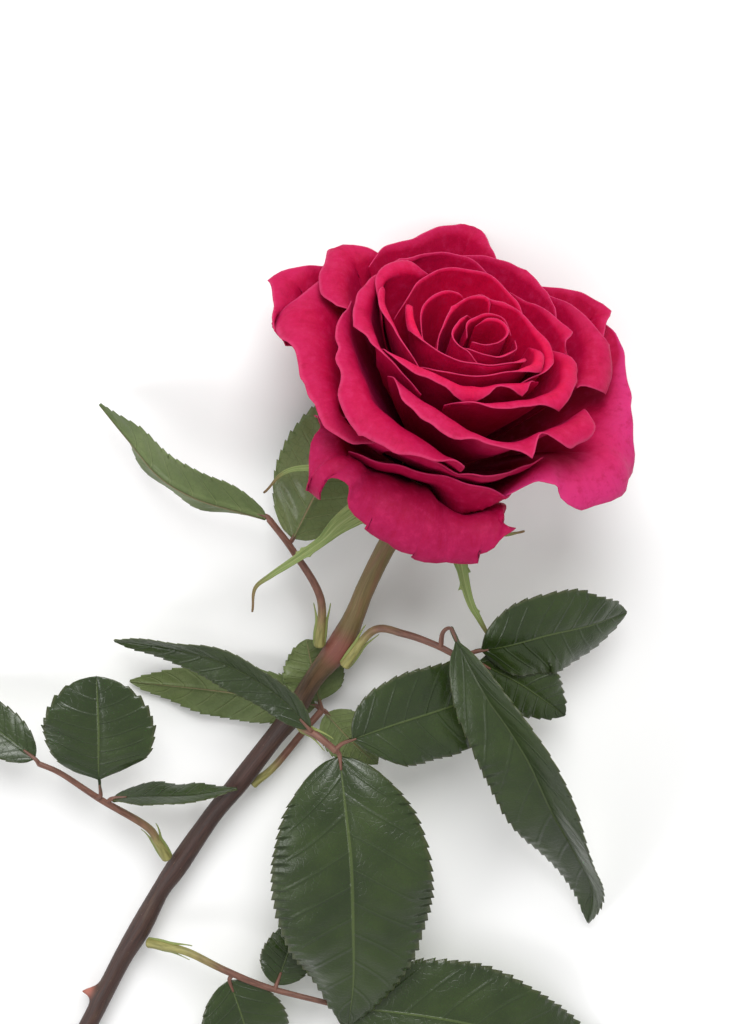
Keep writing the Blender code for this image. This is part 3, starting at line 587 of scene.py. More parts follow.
# %% The cane with its prickle and nodes
PRICKLE = (-76, -149)                           # where it stands on the cane
PRICKLE_WAY = unit(np.array([-1, 0.45, 0.1]))   # where it points
PRICKLE_LONG, PRICKLE_HOOK = 4.2, 1.2
PRICKLE_FOOT = (2.1, 1.0)                       # its foot along the cane and across it
CANE_SIDES = 40


def bark_swell(count):
    """The cane's radius, as a share: shallow ribs that wind slowly, and a fine roughness."""
    rng = np.random.default_rng(4)
    turn = np.linspace(0, 2 * np.pi, CANE_SIDES, endpoint=False)
    t = np.linspace(0, 1, count)[:, None]
    swell = 1 + 0.018 * np.sin(3 * turn + 9 * t) + 0.012 * np.sin(5 * turn - 4 * t)
    return swell + 0.006 * rng.standard_normal(swell.shape)


def cane():
    line = curve(STEM + hip_stations(HIP[:2]), 330)
    line = np.vstack([line, curve(hip_stations(HIP[1:]), 40)[1:]])
    points, faces, place = tube(line, CANE_SIDES, bark_swell(len(line)))
    i = int(np.argmin(np.hypot(line[:, 0] - PRICKLE[0], line[:, 1] - PRICKLE[1])))
    grain = unit(line[i + 1, :3] - line[i - 1, :3])
    off = points - (line[i, :3] + PRICKLE_WAY * line[i, 3])
    down, up = off @ grain, off @ PRICKLE_WAY
    across = np.linalg.norm(off - np.outer(down, grain) - np.outer(up, PRICKLE_WAY), axis=1)
    far = np.hypot(down / PRICKLE_FOOT[0], across / PRICKLE_FOOT[1])
    pull = np.where(up > -line[i, 3] * 0.8, np.exp(-(far**1.25) * 1.5), 0)
    points = (points + np.outer(pull * PRICKLE_LONG, PRICKLE_WAY)
              - np.outer(pull**2 * PRICKLE_HOOK, grain))
    place[:, 2] = np.where(pull > 0.03, 1 + pull, np.clip(place[:, 2], 0, 1))
    return points, faces, place


print("the cane is", round(line_length(cane_path())), "mm long")

# %% [markdown]
# ## Leaflets
#
# A leaflet's outline is an oval with a drawn-out tip, cut into small teeth that point forward.
# A toothed edge could be cut with a Boolean, but it is cheaper to bend the rows of the sheet.
# Each tooth rises slowly and drops at once, so it takes four rows: three on the slope and one
# at the drop.

# %% The leaflets' middle ribs, half widths, facing, fold and curl
LEAVES = {
    "leaf_a_end": ([(-28, 0, 18), (-37, 3, 19), (-46, 6, 19), (-55, 11, 17), (-63, 19, 12),
                    (-71, 26, 4)], 9, (0.30, 0.60, -0.74), 20, 6),
    "leaf_a_right": ([(-21, -7, 16), (-14, 6, 11), (-5, 22, 6), (2, 34, 3)], 13,
                     (-0.1, -0.4, -0.9), 14, 8),
    "leaf_b_right": ([(26.4, -35.4, 24.6), (35, -33.3, 26), (46, -30.6, 25), (57, -30, 20),
                      (67, -29, 13)], 12.5, (0, -0.2, 1), 8, 12),
    "leaf_b_end": ([(20, -28, 26.5), (24.5, -37, 29), (29.5, -46, 31), (35.5, -55, 31.5),
                    (41, -65, 31), (47, -80, 27), (54, -96, 19), (60, -113, 9), (60, -127, 2)],
                   12.5, (-0.55, 0.1, 0.8), 30, 8),
    "leaf_b_left": ([(27.5, -39, 23.2), (39, -46, 22), (51, -57, 17)], 9.5, (0.1, 0, 1), 6, 8),
    "leaf_c_end": ([(-9, -66.5, 22), (-7.5, -79, 27), (-6, -94, 29), (-5.5, -114, 27),
                    (-5.5, -135, 21), (-7, -152, 15)], 21.5, (0, 0.1, 1), 12, 16),
    "leaf_c_right": ([(-8, -62.5, 22.5), (5, -57, 23.5), (17, -53.5, 22), (29, -51, 17.5),
                      (37, -50.5, 12)], 14, (0, -0.1, 1), 12, 10),
    "leaf_c_left": ([(-17, -59, 21), (-24, -51, 21), (-33, -44.5, 20), (-43, -40, 19),
                     (-55, -38, 16), (-69, -38, 11)], 7, (0, -0.5, 0.85), 14, 2),
    "leaf_d_left": ([(-15.8, -60, 3.6), (-40, -56, 2.8), (-66, -54, 0.6)], 8, (-0.1, 0, -1), 3, 3),
    "leaf_d_up": ([(-14.5, -58.5, 5.2), (-16, -50, 6.4), (-18, -40, 5)], 8, (0, 0, -1), 3, 3),
    "leaf_d_right": ([(-12.7, -62, 4), (-6, -70, 4), (1, -78, 2)], 7, (0, 0, -1), 6, 4),
    "leaf_e_side": ([(-73.6, -81, 15.5), (-73.6, -72, 18.5), (-73, -60, 21), (-73, -44, 21)],
                    14.5, (0, -0.2, 1), 8, 10),
    "leaf_e_down": ([(-70.5, -82.8, 14), (-62, -82, 14), (-50, -82, 13.5), (-37, -80.5, 12.5)],
                    5.5, (0, 1, 0.12), 14, 6),
    "leaf_e_end": ([(-91, -70.5, 15), (-98, -65.5, 13), (-108, -60, 8), (-118, -56, 1)], 6.5,
                   (0.3, 0.3, 1), 14, 6),
    "leaf_f_left": ([(-40, -139.4, 12.5), (-36, -154, 12), (-33, -177, 1)], 12,
                    (0.1, 0.2, 1), 10, 10),
    "leaf_f_up": ([(-27, -141, 12), (-24, -133, 10), (-20, -123, 6)], 7, (0, 0, 1), 8, 6),
    "leaf_f_end": ([(-11, -147.5, 12), (25, -152, 14), (68, -172, 1)], 17, (0, 0.2, 1), 10, 12),
}
# Leaflets with a bare little stalk of their own, as a share of the length, and how blunt
# their tip is, from 0 to 1.
BASES = {"leaf_e_side": (0.17, 1.0), "leaf_c_right": (0.06, 0.6), "leaf_c_end": (0.0, 0.12),
         "leaf_d_up": (0.05, 0.6), "leaf_b_right": (0.05, 0.3), "leaf_a_right": (0.0, 0.5),
         "leaf_b_end": (0.04, 0.0)}
print(len(LEAVES), "leaflets")

# %% A blade round its rib
def rib_ways(rib, face):
    """Directions along a rib, up from the blade, and to its side."""
    along = unit(np.gradient(rib, axis=0))
    face = unit(np.array(face, float))
    up = unit(face - along * (along @ face)[:, None])
    return along, up, np.cross(along, up)


def folded(rib, ways, across, out, ahead, fold, curl):
    """A blade that is folded up along its rib and curls down at its margins."""
    along, up, side = ways
    a = np.radians(fold) - np.radians(curl) * np.abs(across)
    return (rib[:, None] + (np.sign(across) * out * np.cos(a))[..., None] * side[:, None]
            + (out * np.sin(a))[..., None] * up[:, None] + ahead[..., None] * along[:, None])


def rng_for(name):
    """Random numbers that are always the same for the same piece."""
    return np.random.default_rng(sum(map(ord, name)))


print("seeds come from the letters of a name, such as", sum(map(ord, "leaf_c_end")))

# %% Teeth and outline
TOOTH = (0.0, 0.34, 0.66, 0.92)     # a tooth's rows, as shares of its length
TOOTH_LONG = 2.7                    # from one tooth to the next, in millimetres
TOOTH_DEEP = (0.22, 0.036)          # a tooth's depth: a length, and a share of the half width
THINNEST = 0.38                     # the narrowest half width of a blade, at its two ends


def tooth_rows(ribs):
    """How many teeth a leaflet has, where its rows lie, and how far each row's tooth has risen."""
    teeth = int(np.clip(line_length(np.array(ribs, float)) / TOOTH_LONG, 12, 30))
    t = np.array([(k + f) / teeth for k in range(teeth) for f in TOOTH] + [1.0])
    return teeth, t, np.array([f / TOOTH[-1] for f in TOOTH] * teeth + [0.0])


def leaf_width(own, half, blunt):
    """Half widths of an oval with a tip that is drawn out, or blunt."""
    width = half * np.sin(np.pi * own ** (0.78 + 0.17 * blunt)) ** (0.72 - 0.2 * blunt)
    return np.maximum(width * (1 - (0.25 - 0.25 * blunt) * own**3), THINNEST)


print("leaf_c_end has", tooth_rows(LEAVES["leaf_c_end"][0])[0], "teeth on each side")

# %% [markdown]
# The blade isn't flat between its veins. Each field swells a little, like a pillow, which
# breaks up the gloss, the whole blade waves gently, and underneath the rib and the veins stand
# out. This could be a bump in the finish, but then the outline would stay flat at a glancing
# view. So the relief is in the mesh.

# %% The leaflet builder
VEINS, VEIN_SLANT = 8.5, 0.20       # side veins on each side, and how far forward they slant
PILLOW, WAVE, GROOVE = 0.34, 0.75, 0.25
LEAF_THICK, RIB_HIGH, VEIN_HIGH = 0.30, 0.75, 0.12


def vein_phase(across, along):
    """Counts the side veins: whole numbers lie on a vein. They leave the rib slanting forward."""
    half = np.where(across > 0, 0.5, 0.0)
    return (along - VEIN_SLANT * np.abs(across) ** 1.25 * (1 - 0.5 * along)) * VEINS + half


def leaf_relief(across, share, half, rng):
    """How far the blade lifts off its smooth shape, and how far its underside stands below it."""
    far, phase = np.abs(across), vein_phase(across, share)
    wave = np.sin(2 * np.pi * (2.3 * share + rng.random())) * np.sign(across) * across**2
    wave = wave + 0.7 * np.sin(2 * np.pi * (3.1 * share + rng.random())) * across**2
    bulk = half / 14 * np.sin(np.pi * np.clip(share, 0, 1)) ** 0.5
    pillow = np.sin(np.pi * phase) ** 2 * far * (1 - far) * 4
    lift = (PILLOW * pillow + WAVE * wave) * bulk - GROOVE * np.exp(-(across / 0.05) ** 2)
    rib = RIB_HIGH * np.exp(-(across / 0.055) ** 2) * (1 - 0.75 * share)
    vein = VEIN_HIGH * np.abs(np.cos(np.pi * phase)) ** 8 * far**0.3 * (1 - far)
    return lift, LEAF_THICK + rib + vein


def leaflet(name):
    ribs, half, face, fold, curl = LEAVES[name]
    bare, blunt = BASES.get(name, (0.0, 0.0))
    rng = rng_for(name)
    teeth, t, rise = tooth_rows(ribs)
    dense = curve(ribs, 240)
    rib = np.stack([np.interp(t, np.linspace(0, 1, 240), dense[:, k]) for k in range(3)], 1)
    ways = rib_ways(rib, face)
    own = np.clip((t - bare) / (1 - bare), 0, 1)
    cols = np.linspace(-1, 1, 27)
    across, share = np.broadcast_arrays((np.sign(cols) * np.abs(cols) ** 0.9)[None], t[:, None])
    bite = np.r_[rng.uniform(0.7, 1.15, teeth).repeat(len(TOOTH)), 0] * rise
    bite *= (TOOTH_DEEP[0] + TOOTH_DEEP[1] * half) * ease(own, 0.02, 0.14) * ease(1 - t, 0, 0.08)
    edge = bite[:, None] * np.abs(across) ** 9
    out = leaf_width(own, half, blunt)[:, None] * np.abs(across) + edge
    grid = folded(rib, ways, across, out, edge * 0.55, fold, curl)
    lift, depth = leaf_relief(across, share, half, rng)
    grid = grid + lift[..., None] * ways[1][:, None]
    return two_faced(grid, grid - depth[..., None] * ways[1][:, None], across, share)


print("leaf_c_end has", len(leaflet("leaf_c_end")[0]), "points")

# %% [markdown]
# ## Leaf stalks and their ears
#
# A rose leaf is compound: several leaflets share one stalk, and each hangs on a short stalk
# of its own that branches off it. The shared stalk is a little flattened on top, thickens
# where it joins the cane, and carries a pair of narrow green ears there, the stipules, which
# are fused to its first centimetre and end in free points. The branches are laid from the
# leaflets' own feet, so no leaflet can float free when its place is changed.

# %% Stalk lines
STALKS = {
    "leaf_a_stalk": ([(-9, -39, 12), (-14, -24, 15), (-21, -10, 17), (-27, -1, 18)], 1.2, 0.8),
    "leaf_b_stalk": ([(-9, -39, 12), (0, -32.5, 17), (8, -32, 20.5), (16, -34, 23), (22, -36.8, 24),
                      (24.6, -37, 24)], 1.2, 0.8),
    "leaf_c_stalk": ([(-22, -60, 10.2), (-19, -60, 18), (-15, -61, 21), (-10, -65, 22)], 1.2, 0.9),
    "leaf_d_stalk": ([(-36, -80, 8.5), (-27, -77, 6), (-19, -67, 5), (-14, -61, 4.5)], 1.1, 0.9),
    "leaf_e_stalk": ([(-54, -107, 6.4), (-59, -98, 10), (-62, -92, 12), (-74, -83, 14),
                      (-84, -75, 15), (-90, -72, 15)], 1.2, 0.7),
    "leaf_f_stalk": ([(-65, -127, 5), (-58, -130, 10), (-51, -131, 12), (-41, -136, 13),
                      (-29, -142, 12), (-12, -147, 12)], 1.2, 0.7),
}
GAP = 0.32              # room between a stalk's foot and the cane's skin


def stalk_line(points, r0, r1, count):
    """A stalk's middle line, starting just clear of the cane's skin."""
    points = np.array(points, float)
    path = cane_path()
    k = int(np.argmin(np.linalg.norm(path[:, :3] - points[0], axis=1)))
    grain = unit(path[k + 1, :3] - path[k - 1, :3])
    way = points[1] - points[0]
    way = unit(way - grain * (way @ grain))
    points[0] = path[k, :3] + way * (path[k, 3] + r0 + GAP)
    line = curve(points, count)
    return np.hstack([line, np.linspace(r0, r1, count)[:, None]])


print({name: round(line_length(stalk_line(*told, 30))) for name, told in STALKS.items()}, "mm")

# %% The ears and the little stalks
EAR_LONG, EAR_WIDE, EAR_THICK = 13.0, 0.8, 0.14
BRANCH_THICK, BRANCH_THIN, INTO_LEAF = 0.75, 0.34, 3.5


def ear(line, side):
    """One stipule: a green wing along the stalk's foot that ends in a free point."""
    run = np.r_[0, np.cumsum(np.linalg.norm(np.diff(line[:, :3], axis=0), axis=1))]
    s = np.linspace(0, 1, 22)
    at = np.stack([np.interp(s * EAR_LONG * 0.8, run, line[:, k]) for k in range(4)], 1)
    mid, radius = at[:, :3], at[:, 3:]
    along = unit(np.gradient(mid, axis=0))
    out = unit(np.cross(along, np.array([0, 0, 1.0]))) * side
    lift = np.cross(out, along) * side
    free = ease(s, 0.62, 1)[:, None]
    root = mid + out * (radius * 0.75 + free * 1.3) + along * free * EAR_LONG * 0.2
    width = (EAR_WIDE * np.sin(np.pi * np.clip(0.12 + 0.88 * s, 0, 1)) ** 0.6)[:, None]
    width = np.maximum(width * (1 - 0.75 * free), 0.12)
    steps = np.linspace(0, 1, 6)
    grid = np.stack([root + out * width * w - lift * w * width * 0.25 for w in steps], 1)
    across, share = np.broadcast_arrays(steps[None], s[:, None])
    thick = (lift * EAR_THICK)[:, None]
    return two_faced(grid + thick, grid - thick, across, share)


def little_stalks(name, line):
    """The short stalks that join a leaf's leaflets to the stalk they share."""
    made = []
    for leaf, (ribs, *_) in LEAVES.items():
        if leaf[:6] != name[:6]:
            continue
        base, ahead = np.array(ribs[:2], float)
        k = int(np.argmin(np.linalg.norm(line[:, :3] - base, axis=1)))
        root, way = line[k, :3], unit(ahead - base)
        bow = (base - way * np.linalg.norm(base - root) * 0.4 - root) * 0.5
        path = curve([root, root + bow, base, base + way * INTO_LEAF], 26)
        radius = np.linspace(min(line[k, 3] * 0.85, BRANCH_THICK), BRANCH_THIN, 26)
        made.append(tube(np.hstack([path, radius[:, None]]), 12))
    return made


print("each leaflet's little stalk narrows to", 2 * BRANCH_THIN, "mm")

# %% One stalk with everything that grows on it
STALK_SIDES, STALK_RINGS = 18, 90
BARE_STALK = "leaf_d_stalk"     # its ears have dropped off
WING = 3.0                      # the third place number tells the finish that this is an ear


def join(parts):
    """Several closed shells as one piece."""
    points, faces, place, first = [], [], [], 0
    for p, f, q in parts:
        faces += [[k + first for k in face] for face in np.asarray(f, dtype=object).tolist()]
        points.append(p)
        place.append(q)
        first += len(p)
    return np.vstack(points), faces, np.vstack(place)


def stalk(name):
    line = stalk_line(*STALKS[name], STALK_RINGS)
    run = np.linspace(0, 1, STALK_RINGS)
    line[:, 3] *= 1 + 0.25 * np.exp(-run * 14) + 0.10 * np.exp(-(1 - run) * 18)
    turn = np.linspace(0, 2 * np.pi, STALK_SIDES, endpoint=False)
    parts = [tube(line, STALK_SIDES, 1 - 0.10 * np.clip(np.sin(turn), 0, 1) ** 3)]
    for p, f, q in little_stalks(name, line):
        q = np.column_stack([q[:, 0], q[:, 1] + line_length(line), np.full(len(q), 0.9)])
        parts.append((p, f, q))
    if name != BARE_STALK:
        for p, f, q in (ear(line, side) for side in (-1, 1)):
            parts.append((p, f, np.column_stack([q[:, :2], np.full(len(q), WING)])))
    return join(parts)


print("leaf_b_stalk has", len(stalk("leaf_b_stalk")[0]), "points")

# %% [markdown]
# ## Sepals
#
# Five narrow sepals closed over the bud. On the open bloom they bend back from the hip, taper
# to threads and curl where the tip has dried. A few tiny lobes stand out from their edges.
# They are blades like the leaflets, so the same folding makes them.

# %% The sepals' middle lines
def on_hip(deg, h=-3, r=7.2):
    """Where a sepal leaves the hip."""
    a = math.radians(deg)
    return tuple(to_rose(np.array([r * math.cos(a), r * math.sin(a), h])))


SEPALS = {
    "sepal_1": ([on_hip(215), (-7, 1.5, 24.5), (-13.5, -5, 23.5), (-21, -11.3, 21.5),
                 (-26.7, -16, 19.5), (-31, -20.5, 17), (-32, -27, 14)], 3.0, (0.1, 0.1, 1), 14, 4),
    "sepal_2": ([on_hip(290), (21, -3, 26.5), (24.5, -19, 26), (27.7, -26.7, 24), (32, -36, 20)], 2.9,
                (0.1, 0.2, 1), 14, 4),
    "sepal_3": ([on_hip(338), (26, 1, 18.5), (33, -4, 20.5), (39.5, -2, 23)], 2.0,
                (0.2, 0.3, 1), 14, 4),
    "sepal_4": ([on_hip(190), (-6, 14, 21), (-21, 12.6, 18), (-28, 6, 14)], 2.4,
                (-0.1, -0.1, 1), 14, 4),
    "sepal_5": ([on_hip(70), (18, 9, 9), (21, -1, 5), (25, -13, 3)], 2.4,
                (0.3, 0.2, -1), 14, 4),
}
print(len(SEPALS), "sepals")

# %% The sepal builder
SEPAL_ROWS, SEPAL_COLUMNS = 90, 11
LOBES = 5
SEPAL_THICK, KEEL = 0.26, 0.35
TIP_CURL = 1.6


def lobes(t, rng):
    """Small lobes along the two edges, at uneven places."""
    made = np.zeros((len(t), 2))
    for k, at in enumerate(rng.uniform(0.2, 0.72, LOBES)):
        made[:, k % 2] += rng.uniform(0.3, 0.8) * np.exp(-((t - at) / 0.010) ** 2)
    return made


def sepal(name):
    ribs, half, face, fold, curl = SEPALS[name]
    rib, t = curve(ribs, SEPAL_ROWS), np.linspace(0, 1, SEPAL_ROWS)
    ways = rib_ways(rib, face)
    width = half * (1 - t) ** 0.8 * (0.75 + 0.6 * np.sin(np.pi * np.clip(2.2 * t, 0, 1)))
    width = np.maximum(width, 0.22)
    across, share = np.broadcast_arrays(np.linspace(-1, 1, SEPAL_COLUMNS)[None], t[:, None])
    edges = lobes(t, rng_for(name))
    extra = np.where(across < 0, edges[:, :1], edges[:, 1:]) * np.abs(across) ** 6
    out = width[:, None] * np.abs(across) + extra
    grid = folded(rib, ways, across, out, extra * 0.8, fold, curl)
    lift = TIP_CURL * ease(share, 0.85, 1) + 0.35 * np.sin(7 * share) * share
    grid = grid + lift[..., None] * ways[1][:, None]
    depth = SEPAL_THICK + KEEL * np.exp(-(across / 0.3) ** 2) * (1 - share)
    return two_faced(grid, grid - depth[..., None] * ways[1][:, None], across, share)


print("sepal_1 has", len(sepal("sepal_1")[0]), "points")

# %% [markdown]
# ## Writing finishes as sums
#
# A finish in Blender is a web of nodes. Drawn by hand it soon tangles, so here a small class
# stands for one wire of the web. Adding or multiplying two wires places the Math node that
# does it, and `1 - mask` reads the way it is meant. Anything else, such as a noise or a mix of
# two colours, comes from the one method called node.

# %% A wire of the node web
class Wire:
    """One output socket of a material, with arithmetic."""

    def __init__(self, tree, socket=None):
        self.tree, self.socket = tree, socket

    def node(self, kind, settings=None, sockets=None, out=0):
        """A new node: its settings, then its sockets' values or wires, and the wire that leaves it."""
        made = self.tree.nodes.new(kind)
        for key, value in (settings or {}).items():
            setattr(made, key, value)
        for key, value in (sockets or {}).items():
            if isinstance(value, Wire):
                self.tree.links.new(value.socket, made.inputs[key])
            else:
                made.inputs[key].default_value = value
        return Wire(self.tree, made.outputs[out])

    def maths(self, operation, *values):
        return self.node("ShaderNodeMath", {"operation": operation}, dict(enumerate(values)))

    def __add__(self, other):
        return self.maths("ADD", self, other)

    def __sub__(self, other):
        return self.maths("SUBTRACT", self, other)

    def __rsub__(self, other):
        return self.maths("SUBTRACT", other, self)

    def __mul__(self, other):
        return self.maths("MULTIPLY", self, other)

    def __pow__(self, other):
        return self.maths("POWER", self, other)

    __radd__, __rmul__ = __add__, __mul__

    def size(self):
        return self.maths("ABSOLUTE", self)

    def step(self, low, high):
        """0 below low, 1 above high, with a smooth step between."""
        return self.node("ShaderNodeMapRange", {"interpolation_type": "SMOOTHSTEP"},
                         {"Value": self, "From Min": low, "From Max": high})

    def mix(self, under, over):
        """The colour under where this mask is 0, and the colour over where it is 1."""
        ends = [(*c, 1) if isinstance(c, tuple) else c for c in (under, over)]
        return self.node("ShaderNodeMix", {"data_type": "RGBA"},
                         {0: self, 6: ends[0], 7: ends[1]}, out=2)

    def vector(self, x, y, z):
        return self.node("ShaderNodeCombineXYZ", None, {0: x, 1: y, 2: z})

    def noise(self, at, scale, detail=4.0, rough=0.55):
        return self.node("ShaderNodeTexNoise", None,
                         {"Vector": at, "Scale": scale, "Detail": detail, "Roughness": rough})

    def parts(self):
        """The three numbers of a vector wire."""
        return [self.node("ShaderNodeSeparateXYZ", None, {0: self}, out=k) for k in range(3)]


print("a wire can", ", ".join(word for word in vars(Wire) if not word.startswith("_")))

# %% [markdown]
# Every finish begins the same way: a new material with its fixed values, the three place
# numbers of the piece, and the position of the point. It ends the same way too, when the wires
# are joined to the shader and a height is turned into slants of the surface by a Bump node.

# %% Starting a finish and joining its wires
def finish(name, **fixed):
    """A new material: its start wire, the place numbers, the position, and its shader."""
    skin = bpy.data.materials.new(name)
    skin.use_nodes = True
    shader = skin.node_tree.nodes["Principled BSDF"]
    for socket, value in fixed.items():
        shader.inputs[socket.replace("_", " ")].default_value = value
    start = Wire(skin.node_tree)
    place = start.node("ShaderNodeAttribute", {"attribute_name": "place"}, out="Vector").parts()
    where = start.node("ShaderNodeTexCoord", out="Object")
    return skin, shader, start, place, where


def wear(shader, start, bump=None, strength=0.5, height=0.2 * MM, **wires):
    """Join wires to the shader's sockets, and a height to its normal through a Bump node."""
    for socket, wire in wires.items():
        start.tree.links.new(wire.socket, shader.inputs[socket.replace("_", " ")])
    if bump is not None:
        normal = start.node("ShaderNodeBump", None,
                            {"Strength": strength, "Distance": height, "Height": bump})
        start.tree.links.new(normal.socket, shader.inputs["Normal"])


print("a bump's height is told in metres, such as", 0.2 * MM)

# %% [markdown]
# ## Petal velvet
#
# Rose petals are covered with tiny cones of skin. They drink light straight on and scatter it
# at a glance, which is why a red rose looks like velvet. A rough base with a pink sheen does
# that. The colour is painted darkest towards the claw, as painted shade deep in the cup, and
# painted lighter pink towards the rolled rim, as painted light, with a thin painted highlight
# on the very edge. It is a little bluer on the back. Fine veins fan from the claw to the rim,
# so the vein pattern is stretched along the petal's own place numbers and not along the world.
#
# Petals also fade with age. Thirty materials could say so, but one number on each petal is
# enough: its age, from 0 in the heart to 1 at the outside. The oldest petals are given more
# than 1, and their margins turn a cold pink. Above 1.6 the number is painted shade, not age:
# the lowest petal has folded back into the flower's own shade and is painted dark all over.

# %% The petal finish
# petal_30's 2.0 is no age: it paints that petal dark all over as painted shade
AGES_AND_SHADE = {"petal_28": 1.3, "petal_27": 0.85, "petal_26": 0.80, "petal_30": 2.0}


def petal_velvet():
    skin, shader, start, (across, along, face), where = finish(
        "petal velvet", Sheen_Weight=0.06, Sheen_Roughness=0.4, Sheen_Tint=(1.0, 0.06, 0.36, 1),
        Subsurface_Weight=0.10, Subsurface_Radius=(1.0, 0.10, 0.25), Subsurface_Scale=1.0 * MM,
        Specular_IOR_Level=0.10)
    age = start.node("ShaderNodeAttribute", {"attribute_name": "age"}, out="Fac")
    fan = start.noise(start.vector(across * 17.0, along * 1.4, face * 3.0), 2.2, 5.0, 0.6)
    hair = start.noise(start.vector(across * 60.0, along * 3.0, face * 5.0), 2.0, 3.0, 0.6)
    cloud, mottle = start.noise(where, 55.0, 3.0), start.noise(where, 420.0, 5.0, 0.7)
    grain = start.noise(where, 2600.0, 2.0)
    rosy = age.step(0.15, 0.65).mix((0.60, 0.0012, 0.046), (0.40, 0.0010, 0.040))
    # painted shade: the petal is painted much darker towards its claw, deep inside the flower
    shaded_cup = along.step(0.20, 0.80).mix((0.20, 0.0003, 0.010), rosy)
    # painted light: the petal is painted lighter pink towards its rolled rim, where the lamp falls on
    # it
    lit = ((along + cloud * 0.10).step(0.76, 1.05) * 0.50).mix(shaded_cup, (0.46, 0.014, 0.092))
    # painted highlight: a thin lighter pink line along the very edge of the rim
    edge = (along.step(0.962, 1.0) * 0.50).mix(lit, (0.54, 0.055, 0.150))
    edge = (age.step(0.75, 1.3) * along.step(0.60, 1.0) * 0.65).mix(edge, (0.54, 0.034, 0.180))
    # painted shade: a number above 1.6 paints the whole petal dark, for the lowest petal, which lies
    # in the flower's own shade
    edge = (age.step(1.6, 1.9) * 0.70).mix(edge, (0.26, 0.0015, 0.032))
    back = (face * 0.40).mix(edge, (0.38, 0.0015, 0.054))
    streak = (fan.step(0.45, 0.75) * 0.16).mix(back, (0.24, 0.0005, 0.020))
    flush = (mottle.step(0.48, 0.70) * 0.30).mix(streak, (0.52, 0.024, 0.115))
    flush = ((1 - mottle.step(0.32, 0.50)) * 0.35).mix(flush, (0.27, 0.0005, 0.024))
    wear(shader, start, fan * 0.30 + hair * 0.30 + mottle * 0.55 + grain * 0.12, 0.50, 0.4 * MM,
         Base_Color=flush, Roughness=0.52 + 0.20 * fan)
    return skin


VELVET = petal_velvet()
print("petal velvet has", len(VELVET.node_tree.nodes), "nodes")

# %% [markdown]
# ## Leaf wax
#
# The upper face of a rose leaf is waxy. It is dark green, and whatever is above it lies over
# the green as a pale gloss, so the material has a thin clear coat. The under face is matt and
# a paler yellow-green, with the veins standing out. The side veins leave the rib at a slant,
# and a fine net fills the space between them. The veins could be painted on a picture, but
# then they would miss the relief. Here their lines use the blade's own slant and count.

# %% Lines of veins on a leaf
def vein_lines(start, across, along, where):
    """Masks of the creases beside the veins, the veins, the middle rib and the fine net."""
    far = across.size()
    half = across.maths("GREATER_THAN", across, 0.0) * 0.5
    phase = (along - VEIN_SLANT * far**1.25 * (1 - 0.5 * along)) * VEINS + half
    near = (phase.maths("FRACT", phase) - 0.5).size()
    crease = near.step(0.40, 0.5) * (1 - far.step(0.72, 0.97))
    vein = near.step(0.475, 0.498) * (1 - far.step(0.70, 0.96))
    net = start.node("ShaderNodeTexVoronoi", {"feature": "DISTANCE_TO_EDGE"},
                     {"Vector": where, "Scale": 620.0}, out="Distance")
    return crease, vein, 1 - far.step(0.010, 0.032), 1 - net.step(0.0, 0.09)


print("about", round(VEINS), "side veins are drawn on each side of a leaf")

# %% The leaf finish
def leaf_wax():
    skin, shader, start, (across, along, face), where = finish(
        "leaf wax", Specular_IOR_Level=0.42, Coat_Weight=0.15, Coat_Roughness=0.18,
        Subsurface_Weight=0.04, Subsurface_Radius=(0.4, 1.0, 0.15), Subsurface_Scale=0.8 * MM)
    crease, vein, midrib, mesh = vein_lines(start, across, along, where)
    cloud, fine = start.noise(where, 70.0, 4.0), start.noise(where, 1500.0, 3.0)
    top = cloud.step(0.25, 0.75).mix((0.014, 0.028, 0.0035), (0.027, 0.048, 0.0065))
    top = (mesh * 0.20).mix(top, (0.012, 0.022, 0.005))
    # painted shade: the upper face is painted a little darker in the creases beside the veins
    top = (crease * 0.35).mix(top, (0.012, 0.024, 0.005))
    top = (vein * 0.22).mix(top, (0.075, 0.115, 0.035))
    top = (midrib * 0.50).mix(top, (0.10, 0.14, 0.036))
    low = cloud.step(0.3, 0.7).mix((0.085, 0.120, 0.034), (0.135, 0.172, 0.060))
    low = (mesh * 0.30).mix(low, (0.060, 0.090, 0.022))
    low = (vein * 0.45).mix(low, (0.20, 0.225, 0.085))
    low = (midrib * 0.85).mix(low, (0.26, 0.20, 0.10))
    rim = across.size().step(0.94, 1.0) * (1 - face) * 0.5
    top = rim.mix(top, (0.070, 0.075, 0.028))
    colour = face.step(0.3, 0.7).mix(top, low)
    shine = 0.18 + 0.34 * cloud + 0.25 * face.step(0.3, 0.7)
    sunk = (mesh * 0.16 + crease * 0.9 + midrib * 0.8) * (1 - 2.0 * face)
    wear(shader, start, fine * 0.12 + cloud * 0.6 - sunk, 0.6, 0.3 * MM,
         Base_Color=colour, Roughness=shine)
    return skin


WAX = leaf_wax()
print("leaf wax has", len(WAX.node_tree.nodes), "nodes")

# %% [markdown]
# ## Cane, stalk and sepal skins
#
# The cane is olive below the bloom, where it is youngest, and turns red-brown further down,
# with a pink flush at the top node. Its skin has fine lengthwise streaks and pale specks. An
# unwrapped picture would leave a seam along the cane. Instead the angle round the cane is
# turned into a sine and a cosine, which meet themselves without a seam, and the pattern is
# stretched along the millimetres that the place numbers give.

# %% The cane's skin
NODE_AT = line_length(curve(STEM[:12], 200))


